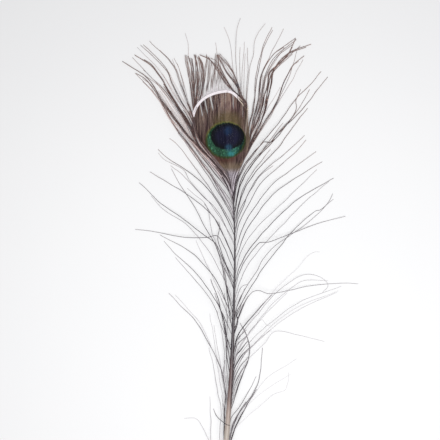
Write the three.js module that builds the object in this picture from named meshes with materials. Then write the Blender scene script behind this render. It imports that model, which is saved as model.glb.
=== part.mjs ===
// The upper third of a peacock's train feather, cut through its shaft and lying face up.
// Units are millimetres. +Y runs up the shaft towards the eye, +X is the feather's right side and
// +Z is up. The origin is the middle of the feather's outline, on the surface that it lies on.
//
// The shaft is one piece. The barbs that grow from its sides are hundreds of hairs, far too fine to
// be solids, so each natural tract of them is one thin curved slab that reaches their tips.
import * as THREE from "three";
import { mergeVertices } from "three/addons/utils/BufferGeometryUtils.js";

// Driving dimensions
const HALF_LENGTH = 165; // from the origin to the crest's highest tip, and to the cut end
const HALF_WIDTH = 76; // from the origin to the widest barb's tip on either side
const CUT_END_WIDTH = 4; // the shaft's width where it is cut
const EYE_END_WIDTH = 0.5; // the shaft's width where it fades out inside the eye
const SHAFT_DEPTH_RATIO = 1.05; // the shaft's depth over its width
const CUT_SLANT = 0.35; // how far the cut leans back, over the shaft's depth
const BARB_LAYER = 1.4; // thickness of a tract of barbs
const ROOT_GAP = 0.6; // clearance between the shaft's side and the barbs' roots
const LIES_FLAT_FROM = 0.78; // share of a barb's length past which it lies on the surface

// Resolution
const SHAFT_STATIONS = 44;
const SHAFT_SIDES = 12;
const STEPS_ALONG_BARB = 12;
const STEPS_BETWEEN_RIBS = 2;
const HALVINGS = 30; // steps of the search for a height on the shaft

// The shaft's middle line: [x, y], and its height over the surface. It rests on its cut end, rises
// in a low bow and sinks again towards the eye.
const SHAFT_LINE = new THREE.CatmullRomCurve3(
  [
    [-13.5, -HALF_LENGTH, 2.2],
    [-11.2, -135, 3.4],
    [-8.8, -103, 5.0],
    [-6.3, -70, 6.4],
    [-4.4, -25, 7.4],
    [-3.6, 12, 7.4],
    [-4.0, 35, 6.9],
    [-5.1, 55, 6.2],
    [-7.2, 72, 5.4],
    [-8.8, 88, 4.6],
  ].map(([x, y, z]) => new THREE.Vector3(x, y, z)),
);

// The shaft's width at heights y up the feather, widest at the cut.
const SHAFT_WIDTHS = [
  [-HALF_LENGTH, CUT_END_WIDTH],
  [-103, 3.5],
  [-70, 2.9],
  [-45, 2.2],
  [-20, 1.6],
  [20, 1.1],
  [55, 0.8],
  [88, EYE_END_WIDTH],
];

function shaftWidth(y) {
  const last = SHAFT_WIDTHS.length - 1;
  const above = SHAFT_WIDTHS.findIndex(([height]) => height > y);
  const upper = above < 0 ? last : Math.max(above, 1);
  const [y0, width0] = SHAFT_WIDTHS[upper - 1];
  const [y1, width1] = SHAFT_WIDTHS[upper];
  return THREE.MathUtils.mapLinear(THREE.MathUtils.clamp(y, y0, y1), y0, y1, width0, width1);
}

// The point of the shaft's middle line at height y.
function shaftAt(y) {
  let low = 0;
  let high = 1;
  for (let halving = 0; halving < HALVINGS; halving += 1) {
    const middle = (low + high) / 2;
    if (SHAFT_LINE.getPoint(middle).y < y) {
      low = middle;
    } else {
      high = middle;
    }
  }
  return SHAFT_LINE.getPoint(low);
}

// A closed body from triangles, turned inside out if its faces would point inwards.
function closedBody(positions, triangles) {
  let volume = 0;
  const a = new THREE.Vector3();
  const b = new THREE.Vector3();
  const c = new THREE.Vector3();
  for (const [i, j, k] of triangles) {
    a.fromArray(positions, i * 3);
    b.fromArray(positions, j * 3);
    c.fromArray(positions, k * 3);
    volume += a.dot(b.cross(c));
  }
  const outward = volume < 0 ? triangles.map(([i, j, k]) => [i, k, j]) : triangles;
  const geometry = new THREE.BufferGeometry();
  geometry.setAttribute("position", new THREE.Float32BufferAttribute(positions, 3));
  geometry.setIndex(outward.flat());
  return mergeVertices(geometry);
}

function shaftGeometry() {
  const positions = [];
  const triangles = [];
  for (let station = 0; station <= SHAFT_STATIONS; station += 1) {
    const middle = SHAFT_LINE.getPoint(station / SHAFT_STATIONS);
    const halfWidth = shaftWidth(middle.y) / 2;
    const halfDepth = halfWidth * SHAFT_DEPTH_RATIO;
    for (let side = 0; side < SHAFT_SIDES; side += 1) {
      const turn = (2 * Math.PI * side) / SHAFT_SIDES;
      const lift = Math.sin(turn) * halfDepth;
      const cutBack = station === 0 ? (lift + halfDepth) * CUT_SLANT : 0;
      positions.push(middle.x + Math.cos(turn) * halfWidth, middle.y + cutBack, middle.z + lift);
    }
  }
  for (let station = 0; station < SHAFT_STATIONS; station += 1) {
    for (let side = 0; side < SHAFT_SIDES; side += 1) {
      const next = (side + 1) % SHAFT_SIDES;
      const here = station * SHAFT_SIDES;
      const ahead = here + SHAFT_SIDES;
      triangles.push([here + side, here + next, ahead + next]);
      triangles.push([here + side, ahead + next, ahead + side]);
    }
  }
  const lastRing = SHAFT_STATIONS * SHAFT_SIDES;
  for (let side = 1; side < SHAFT_SIDES - 1; side += 1) {
    triangles.push([0, side + 1, side]);
    triangles.push([lastRing, lastRing + side, lastRing + side + 1]);
  }
  return closedBody(positions, triangles);
}

// One barb's middle line. It leaves the shaft's side (-1 left, 1 right) at height rootY, at the
// shaft's own height over the surface, goes through the points [x, y], droops, and lies flat.
function ribPoints(side, rootY, through) {
  const root = shaftAt(rootY);
  const rootX = root.x + side * (shaftWidth(rootY) / 2 + ROOT_GAP);
  const plan = new THREE.CatmullRomCurve3(
    [[rootX, rootY], ...through].map(([x, y]) => new THREE.Vector3(x, y, 0)),
    false,
    "centripetal",
  );
  const points = [];
  for (let step = 0; step <= STEPS_ALONG_BARB; step += 1) {
    const share = step / STEPS_ALONG_BARB;
    const droop = Math.cos((Math.PI / 2) * Math.min(share / LIES_FLAT_FROM, 1));
    const point = plan.getPointAt(share);
    point.z = Math.max(root.z * droop, BARB_LAYER / 2);
    points.push(point);
  }
  return points;
}

// A tract of barbs: a slab of even thickness, ruled from each of its ribs to the next.
function tractGeometry(side, ribs) {
  const lines = ribs.map(([rootY, ...through]) => ribPoints(side, rootY, through));
  const rows = [];
  for (let rib = 0; rib < lines.length - 1; rib += 1) {
    for (let step = 0; step < STEPS_BETWEEN_RIBS; step += 1) {
      const share = step / STEPS_BETWEEN_RIBS;
      rows.push(lines[rib].map((point, i) => point.clone().lerp(lines[rib + 1][i], share)));
    }
  }
  rows.push(lines[lines.length - 1]);

  const columns = STEPS_ALONG_BARB + 1;
  const positions = [];
  for (const height of [BARB_LAYER / 2, -BARB_LAYER / 2]) {
    for (const point of rows.flat()) {
      positions.push(point.x, point.y, point.z + height);
    }
  }
  const under = rows.length * columns;
  const triangles = [];
  for (let row = 0; row < rows.length - 1; row += 1) {
    for (let column = 0; column < columns - 1; column += 1) {
      const corner = row * columns + column;
      const across = corner + columns;
      triangles.push([corner, corner + 1, across + 1], [corner, across + 1, across]);
      const low = corner + under;
      const lowAcross = across + under;
      triangles.push([low, lowAcross + 1, low + 1], [low, lowAcross, lowAcross + 1]);
    }
  }
  const wall = (from, to) => {
    triangles.push([from, from + under, to + under], [from, to + under, to]);
  };
  for (let column = 0; column < columns - 1; column += 1) {
    const lastRow = (rows.length - 1) * columns + column;
    wall(column, column + 1);
    wall(lastRow + 1, lastRow);
  }
  for (let row = 0; row < rows.length - 1; row += 1) {
    const rootEdge = row * columns;
    const tipEdge = rootEdge + columns - 1;
    wall(rootEdge + columns, rootEdge);
    wall(tipEdge, tipEdge + columns);
  }
  return closedBody(positions, triangles);
}

// Each tract's ribs run in order round the feather. A rib is the height of its root on the shaft,
// then the points [x, y] that it goes through to its tip.
const LEFT = -1;
const RIGHT = 1;

// The barbs that knit into the eye, with their loose ends above it.
const EYE_BARBS_LEFT = [
  [53, [-16.5, 71.5], [-28, 86.5], [-32.5, 98], [-35.5, 115], [-36.5, 137.5], [-35.5, 155]],
  [57, [-18, 89.5], [-22, 112], [-24, 128], [-21.5, 145]],
  [60.5, [-13.5, 89.5], [-14.5, 115], [-15.5, 131], [-16.5, 148.5]],
  [63, [-8.6, 75], [-10.2, 88], [-9, 100], [-7.5, 117], [-8, 137.5], [-10, 158.5]],
];
const EYE_BARBS_RIGHT = [
  [63, [-6.3, 75], [-7.4, 88], [-7, 100], [-5.5, 117], [-2, 140.5], [0, HALF_LENGTH]],
  [60.5, [0.5, 86.5], [2.5, 105.5], [5.5, 131], [12.5, 156]],
  [57, [3.5, 86.5], [7.5, 108.5], [12, 132.5], [19.5, 158]],
  [53, [-0.5, 64], [6, 86.5], [14, 117], [22, 140.5], [28, 158.5]],
];

// The long barbs that flank the eye in a wide V.
const UPPER_BARBS_LEFT = [
  [48, [-13, 59], [-30.5, 81], [-40, 100.5], [-45, 121.5], [-58, 150.5]],
  [41.5, [-22.5, 66], [-40, 94], [-51.5, 119.5], [-69.5, 142.5]],
  [34, [-26, 60.5], [-45, 89.5], [-59, 113], [-HALF_WIDTH, 136]],
  [25, [-22.5, 48], [-38.5, 70.5], [-53.5, 80.5]],
  [16, [-22.5, 34], [-38.5, 54.5], [-58.5, 66.5]],
];
const UPPER_BARBS_RIGHT = [
  [49, [1.5, 62], [9.5, 85], [17.5, 114], [26, 133.5], [36, 151.5]],
  [44, [5, 60.5], [17.5, 92.5], [31.5, 124.5], [45, 148.5]],
  [39, [10, 59.5], [28.5, 94], [55.5, 127]],
  [34, [10, 50.5], [28.5, 75], [43.5, 91]],
  [25, [14, 48], [31.5, 62], [52, 73.5]],
];

// The even comb of barbs below them.
const MIDDLE_BARBS_LEFT = [
  [11, [-22.5, 27.5], [-42, 43], [-65, 59.5]],
  [0, [-22.5, 19], [-45, 27.5], [-68.5, 28.5]],
  [-14, [-19.5, 2], [-34, 12.5], [-51, 24]],
  [-32, [-19.5, -16], [-29, -3.5], [-41, 11]],
];
const MIDDLE_BARBS_RIGHT = [
  [20.5, [14, 40], [36, 54.5], [60, 63]],
  [8, [14, 25.5], [38, 34], [67, 38.5]],
  [-5, [12.5, 8], [31.5, 12], [51, 14.5]],
  [-19.5, [14, -10.5], [41.5, -7], [HALF_WIDTH, -6]],
];

// The sparse, wandering barbs of the lower vane.
const LOWER_BARBS_LEFT = [
  [-36.5, [-18, -27.5], [-32.5, -19.5], [-45.5, -12.5]],
  [-67.5, [-19.5, -45], [-29, -32], [-42, -18]],
  [-92, [-17, -80], [-22.5, -70.5], [-28.5, -62]],
  [-103, [-20.5, -96], [-28.5, -92.5], [-36, -91.5]],
];
const LOWER_BARBS_RIGHT = [
  [-24.5, [14, -15.5], [38, -13.5], [63.5, -10.5]],
  [-38.5, [14, -32], [38, -35.5], [58, -45]],
  [-64, [9.5, -54.5], [22, -53], [34.5, -56]],
  [-96, [6, -88], [19, -79], [30, -72.5]],
];

// The short downy barbs where the vane ends and the shaft runs on bare.
const BASE_DOWN_LEFT = [
  [-110, [-20.5, -108], [-29, -106.5]],
  [-116.5, [-21.5, -115.5], [-29, -114.5]],
  [-122.5, [-18, -124], [-24.5, -124]],
];
const BASE_DOWN_RIGHT = [
  [-109.5, [3, -107.5], [14, -106.5]],
  [-115.5, [3.5, -114.5], [14, -114.5]],
  [-121, [-0.5, -122], [8, -122.5]],
];

const keratin = new THREE.MeshStandardMaterial({ color: 0xcdbcae, roughness: 0.45, metalness: 0 });
const bronzeWeb = new THREE.MeshStandardMaterial({ color: 0x5f5048, roughness: 0.4, metalness: 0.2 });
const greyBarbs = new THREE.MeshStandardMaterial({ color: 0x6a625e, roughness: 0.55, metalness: 0 });
const paleDown = new THREE.MeshStandardMaterial({ color: 0xa39b96, roughness: 0.8, metalness: 0 });

const feather = new THREE.Group();

function addPiece(name, geometry, material) {
  const mesh = new THREE.Mesh(geometry, material);
  mesh.name = name;
  feather.add(mesh);
}

addPiece("shaft", shaftGeometry(), keratin);
addPiece("eye_barbs_left", tractGeometry(LEFT, EYE_BARBS_LEFT), bronzeWeb);
addPiece("eye_barbs_right", tractGeometry(RIGHT, EYE_BARBS_RIGHT), bronzeWeb);
addPiece("upper_barbs_left", tractGeometry(LEFT, UPPER_BARBS_LEFT), greyBarbs);
addPiece("upper_barbs_right", tractGeometry(RIGHT, UPPER_BARBS_RIGHT), greyBarbs);
addPiece("middle_barbs_left", tractGeometry(LEFT, MIDDLE_BARBS_LEFT), greyBarbs);
addPiece("middle_barbs_right", tractGeometry(RIGHT, MIDDLE_BARBS_RIGHT), greyBarbs);
addPiece("lower_barbs_left", tractGeometry(LEFT, LOWER_BARBS_LEFT), greyBarbs);
addPiece("lower_barbs_right", tractGeometry(RIGHT, LOWER_BARBS_RIGHT), greyBarbs);
addPiece("base_down_left", tractGeometry(LEFT, BASE_DOWN_LEFT), paleDown);
addPiece("base_down_right", tractGeometry(RIGHT, BASE_DOWN_RIGHT), paleDown);

export default feather;
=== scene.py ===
"""A cut peacock train feather lying face up: its shaft, and every barb with its barbules."""
import math

import bpy
import numpy as np
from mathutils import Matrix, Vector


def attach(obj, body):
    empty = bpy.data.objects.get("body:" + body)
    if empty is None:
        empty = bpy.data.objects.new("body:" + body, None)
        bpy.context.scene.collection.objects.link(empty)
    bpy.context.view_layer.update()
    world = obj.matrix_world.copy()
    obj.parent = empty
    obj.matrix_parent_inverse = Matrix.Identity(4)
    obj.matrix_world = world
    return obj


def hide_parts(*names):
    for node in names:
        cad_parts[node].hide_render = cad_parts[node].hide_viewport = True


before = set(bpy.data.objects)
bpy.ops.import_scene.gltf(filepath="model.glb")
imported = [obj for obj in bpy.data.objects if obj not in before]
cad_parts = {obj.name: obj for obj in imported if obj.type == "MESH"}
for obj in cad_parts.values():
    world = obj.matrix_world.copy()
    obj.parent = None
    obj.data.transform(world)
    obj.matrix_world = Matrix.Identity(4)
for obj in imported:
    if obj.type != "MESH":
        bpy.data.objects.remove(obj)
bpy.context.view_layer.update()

MM = 0.001
LEFT = -1
RIGHT = 1

# Lengths and places below are in mm on the feather, unless they say otherwise.

# Lines, stems and barbules.
CURVE_SAMPLES = 24                      # points worked out from one given point to the next
PATH_STEP = 1.0                         # spacing of the points along the shaft
LINE_STEP = 0.8                         # and along a barb
STEM_SIDES = 4
STEM_BAND = (0.42, 0.58)                # the part of a barb's band of UVs that its stem takes
BARBULE_BAND = (0.1, 0.45)              # and its barbules, on each side of the band's middle
BARBULE_U = 0.7                         # the share of its spacing in u that a barbule takes
LOWEST_TIP = 0.12                       # how far over the surface a barbule's tip stays
SHORTEST_BARBULE = 0.12                 # shorter ones are left out
ROOT_OFFSET = 0.42                      # how far from the shaft's middle a barb starts, in shaft widths
STEADY_FOR = 12                         # how far from the shaft a barb comes to waver fully
LIFT_WAVELENGTH = 70                    # of a barb's rises
WAVER_WAVELENGTH = 28                   # and of its bends to the side
FAR_BELOW_ARC = -30.0                   # stands for any place well inside the web
FAR_PAST_ARC = 30.0                     # and for any place well out on the crest

# How the loose barbs lie.
REST_HEIGHT = 0.35                      # how far over the surface a barb lies on it
LIES_FLAT_FROM = 0.78                   # share of a loose barb's length at which it touches down
EYE_REACH = 78.0                        # distance from the shaft at which the eye's barbs touch down
OVER_WEB_FROM = 46                      # loose barbs that leave the shaft above this cross the web
OVER_WEB_RISE = {LEFT: 1.6, RIGHT: -1.5}  # how far over it they pass, or under it
TWINS_FROM = {LEFT: 34.5, RIGHT: 48}    # heavy barbs that leave the shaft above this have a second strand
TWINS_WEIGHT = {LEFT: 0.6, RIGHT: 0.65}  # the least weight of a heavy one
TWIN_DRIFT = 0.9                        # how far the second strand drifts away at its tip
FAN_BUSH = {LEFT: 1.0, RIGHT: 1.3}      # how much bushier the long barbs beside the eye are
CHILD_SAMPLES = 32                      # points on each of two barbs that are mixed into one between them
CHILD_POINTS = 7                        # how many of them the mixed one keeps
HIGHLIGHT_BARB_TONE = 1.1                         # tone of the pinkish white barbs beside the eye, painted highlights that stand for glossy barbs catching the light
SHAFT_CLEARANCE = 0.25                  # between the shaft and a barb that crosses it

# The shaft's centre line, from the cut end to the tip in the eye, and its width.
SHAFT_LINE = [
    (-13.5, -165, 2.2), (-11.2, -135, 3.4), (-8.8, -103, 5.0), (-6.3, -70, 6.4), (-4.4, -25, 7.4),
    (-3.6, 12, 7.4), (-4.0, 35, 6.9), (-5.1, 55, 6.2), (-7.2, 72, 5.4), (-8.8, 88, 4.6),
]
SHAFT_WIDTH_AT = [-165, -103, -70, -45, -20, 20, 55, 88]
SHAFT_WIDTHS = [4.0, 3.5, 2.9, 2.2, 1.6, 1.1, 0.8, 0.5]
SHAFT_DEPTH_RATIO = 1.05
SHAFT_RINGS = 420
SHAFT_SIDES = 28
GROOVE_DEPTH = 0.16                     # of the groove along its back, as a share of its half width
GROOVE_ANGLE = 0.42                     # and how wide it is, in radians
CUT_SLANT = 0.35                        # how far the cut end leans back, per mm of height
CUT_FACE_BELOW = -164.6                 # the y below which the pale colour of the cut face shows

# The eye's ovals: centre and half sizes.
DISC_OVAL = (-9.4, 86.3), (12.3, 11.3)
PUPIL_OVAL = (-8.2, 88.5), (10.7, 8.4)
GLOW_OVAL = (-8.0, 92.0), (3.6, 4.0)    # the bluest part of the pupil
NOTCH_OVAL = (-7.6, 81.2), (3.2, 3.0)   # the blue notch at its lower edge
TURQUOISE_OVAL = (-6.0, 77.3), (3.0, 2.2)
OLIVE_OVAL = (-8.0, 98.0), (12.0, 8.5)  # the olive part of the web, over the disc
MAROON_OVAL = (-12.5, 83.0), (14.0, 16.0)  # the maroon part, round its lower half
PALE_LINE_X, PALE_LINE_Y = 3.1, 90      # a point on the pale line along the web's right edge
PALE_LINE_LEAN = 0.12                   # how far it leans to the right, per mm upwards
WHITE_ARC = 1.9                         # thickness of the white arc
ARC_FADES_OVER = 3.0                    # how far past it a barb has taken the crest's colour
NOISE_ROUGHNESS = 0.55

# The stage, in metres.
CAMERA_XY = (-13.06 * MM, 35.07 * MM)   # the middle of the view, on the feather
CAMERA_HEIGHT = 0.786
CAMERA_LENS = 100                       # mm, as on a real camera
CAMERA_SENSOR = 36
FLOOR_SIZE = 6.0
FLOOR_GLOW = 0.25                       # keeps the gaps between barbs from going grey
SKY_COLOUR = (0.975, 0.975, 1.0, 1)
SKY_STRENGTH = 0.45

# Every barb below is (root, weight, points): where it leaves the shaft, how dark and thick it is,
# 1 for a strong one, and the places that it passes on its way to its tip.
UPPER_LEFT = [
    (56, 0.5, [(-8.5, 64.5), (-17, 74.5), (-27, 88), (-30.5, 101), (-34, 113), (-37.5, 127), (-42.5, 139)]),
    (55.5, 0.45, [(-8.5, 64), (-27, 88), (-31, 101.5), (-35, 115), (-38, 127), (-40.5, 135.5)]),
    (55, 0.35, [(-8.5, 63.5), (-27, 87), (-31, 101), (-39, 123), (-43.5, 138.5)]),
    (54.5, 0.95, [(-8.5, 63.5), (-18, 74.5), (-26.5, 87), (-30.5, 99), (-34, 110)]),
    (54, 0.65, [(-8.5, 63), (-25, 84), (-31, 102), (-38, 121.5), (-44.5, 136), (-58.5, 150)]),
    (53.5, 0.75, [(-8.5, 62.5), (-25.5, 84), (-31, 99), (-38, 111), (-43.5, 121.5), (-48, 131.5),
                  (-58.5, 142.5), (-64.5, 147.5)]),
    (53.3, 0.9, [(-8.5, 62.5), (-25.5, 84), (-31, 96.5), (-36, 105)]),
    (53, 0.4, [(-8.5, 62.5), (-26, 84), (-31, 98), (-40, 111.5), (-53.5, 133), (-66.5, 146)]),
    (52.5, 1.0, [(-8.5, 61.5), (-25, 80.5), (-32, 93), (-38, 103.5), (-41, 108.5)]),
    (52.3, 1.1, [(-9, 61.5), (-26, 82), (-32, 94.5), (-37, 103), (-42, 110.5), (-46, 117)]),
    (52, 1.3, [(-9, 61.5), (-26.5, 83), (-31.5, 94.5), (-39.5, 107.5), (-46.5, 118), (-51, 126),
               (-57.5, 134.5), (-68, 141)]),
    (51.5, 1.0, [(-9, 61), (-26, 82), (-31, 92.5), (-38.5, 105.5), (-44.5, 115), (-49.5, 122.5)]),
    (51, 0.6, [(-9, 60.5), (-27, 82.5), (-33, 94.5), (-41.5, 108.5), (-48.5, 118), (-56, 125.5),
               (-69.5, 139.5)]),
    (50, 0.5, [(-8.5, 59.5), (-28, 83), (-34, 94.5), (-43.5, 110), (-53.5, 122), (-66, 131)]),
    (49, 1.15, [(-8.5, 57), (-15, 68), (-26.5, 81.5), (-36.5, 93), (-44.5, 104), (-52, 114.5), (-59.5, 126),
                (-76, 137)]),
    (48.7, 0.9, [(-8.5, 57), (-20, 74), (-31, 86), (-37.5, 93.5), (-43, 101), (-48.5, 109.5)]),
    (48, 0.5, [(-8, 56), (-16, 68), (-27, 81), (-38, 93.5), (-46, 104), (-50.5, 111.5)]),
    (47, 0.5, [(-7.5, 55), (-24, 76), (-36, 91), (-46, 107), (-57, 121.5), (-62.5, 126)]),
    (45, 0.6, [(-7.5, 53.5), (-14, 62), (-27, 79), (-36.5, 91.5)]),
    (41.5, 0.5, [(-6.5, 47.5), (-16.5, 61.5), (-31, 81.5), (-41.5, 95), (-45.5, 101)]),
    (39, 0.6, [(-7.5, 46), (-17.5, 61.5), (-31, 80), (-42, 95.5), (-49, 108), (-57, 119.5)]),
    (35.5, 0.6, [(-7, 42.5), (-12.5, 51.5), (-22, 68), (-33, 83), (-43, 96.5), (-50, 108.5), (-57, 118.5),
                 (-68, 129.5)]),
    (34, 0.7, [(-7, 40.5), (-13, 51), (-25.5, 70.5), (-36, 85.5), (-40, 91)]),
    (29, 0.65, [(-6.5, 34), (-11.5, 43), (-17, 51.5), (-29, 68.5), (-41.5, 84.5), (-45.5, 87.5)]),
    (25.5, 0.75, [(-6, 30.5), (-11, 40.5), (-22.5, 57), (-35.5, 67.5), (-47.5, 75.5), (-53, 80.5)]),
    (20.5, 0.4, [(-6.5, 25.5), (-12.5, 36), (-19.5, 45.5), (-32.5, 60.5), (-36.5, 67), (-49.5, 74.5),
                 (-52.5, 78)]),
    (19, 0.55, [(-6.5, 24.5), (-13.5, 39), (-25, 51.5), (-38, 64.5), (-44.5, 70)]),
]
MIDDLE_LEFT = [
    (9.5, 0.7, [(-5.5, 13.5), (-8, 19.5), (-14, 31.5), (-19, 39), (-30.5, 49), (-44, 57.5), (-58, 66)]),
    (8.5, 0.6, [(-5.4, 12.5), (-7.3, 17.5), (-9.3, 22), (-11.2, 26.5), (-13.2, 30.5), (-14, 34)]),
    (3, 0.65, [(-6.5, 8), (-10.5, 18), (-15, 25), (-21, 24), (-35.5, 24), (-58, 28), (-67.5, 29)]),
    (-2, 0.7, [(-7.5, 3.5), (-12.5, 15.5), (-14.5, 24), (-13.5, 31.5), (-18.5, 38.5), (-23, 45.5)]),
    (-5.5, 0.7, [(-7, 1), (-12, 12), (-15.5, 19.5), (-24, 26), (-35.5, 35), (-52, 46.5), (-59, 53.5),
                 (-65, 59)]),
    (-7, 0.4, [(-9, 3.5), (-14, 14.5), (-18.5, 29.5), (-22, 44), (-34, 55.5)]),
    (-8.5, 0.5, [(-5, -6.5), (-6.3, -2), (-8.3, 3.5), (-10.7, 9.5), (-13.2, 14)]),
    (-9, 0.65, [(-6.5, -3.5), (-12.5, 9.5), (-17.5, 22), (-22.5, 30.5), (-32.5, 48.5), (-41, 61.5),
                (-44.5, 68)]),
    (-18, 0.45, [(-8, -8), (-16, 8), (-22.5, 18.5), (-34.5, 32), (-49.5, 42), (-57.5, 50.5)]),
    (-20, 0.65, [(-7, -14), (-8.5, -8), (-9.5, -2), (-10.5, 4)]),
    (-24, 0.9, [(-6.5, -18), (-9, -7), (-11, 1), (-13, 8.5)]),
    (-26, 0.35, [(-6.5, -22.5), (-13, -10.5), (-19.5, 2), (-24.5, 13), (-28.5, 22)]),
    (-28.5, 0.65, [(-7, -23), (-11, -12.5), (-16, -3), (-27.5, 11), (-36, 17), (-51.5, 25.5)]),
    (-32.5, 0.55, [(-7.5, -27), (-10, -21), (-14.5, -10.5)]),
    (-34, 0.8, [(-6.5, -27), (-8, -17), (-9, -9), (-9.5, -2), (-11.5, 6.5)]),
    (-38, 0.6, [(-8.5, -31), (-15.5, -17), (-27.5, 0), (-43, 14.5), (-49, 21.5)]),
    (-45, 0.5, [(-10, -37.5), (-16.5, -21), (-22, -11.5), (-35, 3), (-41.5, 11)]),
    (-48, 0.95, [(-8.5, -40.5), (-10, -31), (-13, -22), (-14.5, -14.5), (-19, -3)]),
]
LOWER_LEFT = [
    (-55, 0.75, [(-8, -48), (-9.5, -40), (-11.5, -29), (-13.5, -20), (-16.5, -12)]),
    (-58, 0.6, [(-7.5, -50), (-8.5, -42), (-8.5, -33), (-9, -22), (-10, -12)]),
    (-62, 0.85, [(-8, -57), (-9, -46.5), (-8.5, -41.5), (-9.5, -36), (-12, -23.5)]),
    (-70, 0.45, [(-8.5, -62), (-9, -52), (-9.5, -42), (-10, -34)]),
    (-80, 0.35, [(-8.5, -74), (-10, -63), (-10.5, -48), (-12.5, -33.5), (-15, -23.5)]),
    (-82, 0.25, [(-8.5, -73), (-11.5, -62), (-17.5, -48.5), (-25.5, -32), (-34.5, -21), (-42, -13)]),
    (-88, 0.3, [(-9, -81), (-11, -69.5), (-13.5, -54), (-17, -32.5)]),
    (-90, 0.65, [(-8.5, -80), (-13, -59.5), (-17, -49.5), (-23.5, -38.5), (-30, -28), (-39, -19.5),
                 (-46, -12)]),
    (-92, 0.25, [(-9.5, -84), (-13, -69.5), (-15.5, -51.5), (-19.5, -25)]),
    (-109, 0.95, [(-10.5, -104), (-10.5, -99), (-10, -84.5), (-9.5, -76), (-11, -65), (-10, -55)]),
    (-113, 0.4, [(-13, -105), (-13, -99), (-12.5, -88), (-16, -66.5), (-20, -47)]),
    (-121, 0.28, [(-13.5, -117), (-17, -112), (-20.5, -105.5), (-24.5, -97.5), (-29, -92.5), (-36, -92.5)]),
    (-124, 0.4, [(-14, -120), (-17, -113), (-19, -105.5), (-19, -89), (-19.5, -78.5)]),
]
# Pinkish white barbs beside the eye, in the gaps between the dark ones: painted highlights that stand for
# glossy barbs catching the light.
HIGHLIGHT_BARBS_UPPER_LEFT = [
    (54, 0.5, [(-8.5, 62.5), (-25.5, 83.5), (-31.5, 100), (-40, 112.5), (-50, 129)]),
    (53.4, 0.35, [(-8.5, 62.5), (-26, 85), (-31.5, 102), (-38.5, 115.5), (-46, 130)]),
    (51.2, 0.6, [(-9, 61), (-20, 73.5), (-29, 85), (-35.5, 96), (-45, 111), (-54, 123)]),
    (50.5, 0.5, [(-9, 60), (-29, 84), (-37.5, 97.5), (-43, 105.5), (-51.5, 118)]),
    (49.8, 0.4, [(-8.5, 59), (-29.5, 84), (-38, 96.5), (-45, 107), (-53, 118)]),
    (48.5, 0.5, [(-8, 56.5), (-22, 75), (-34, 88.5), (-44.5, 100.5), (-48.5, 107)]),
    (48.2, 0.5, [(-8, 56), (-24, 77), (-37, 91), (-45, 100), (-52.5, 112), (-59, 121)]),
    (46, 0.45, [(-7.5, 54.5), (-22, 73), (-37.5, 91), (-43.5, 99)]),
    (40, 0.45, [(-7, 46.5), (-20, 65.5), (-35.5, 86), (-49, 106)]),
    (37, 0.4, [(-7, 44), (-19.5, 63.5), (-35, 84.5), (-45, 99), (-52, 111)]),
]
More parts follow.
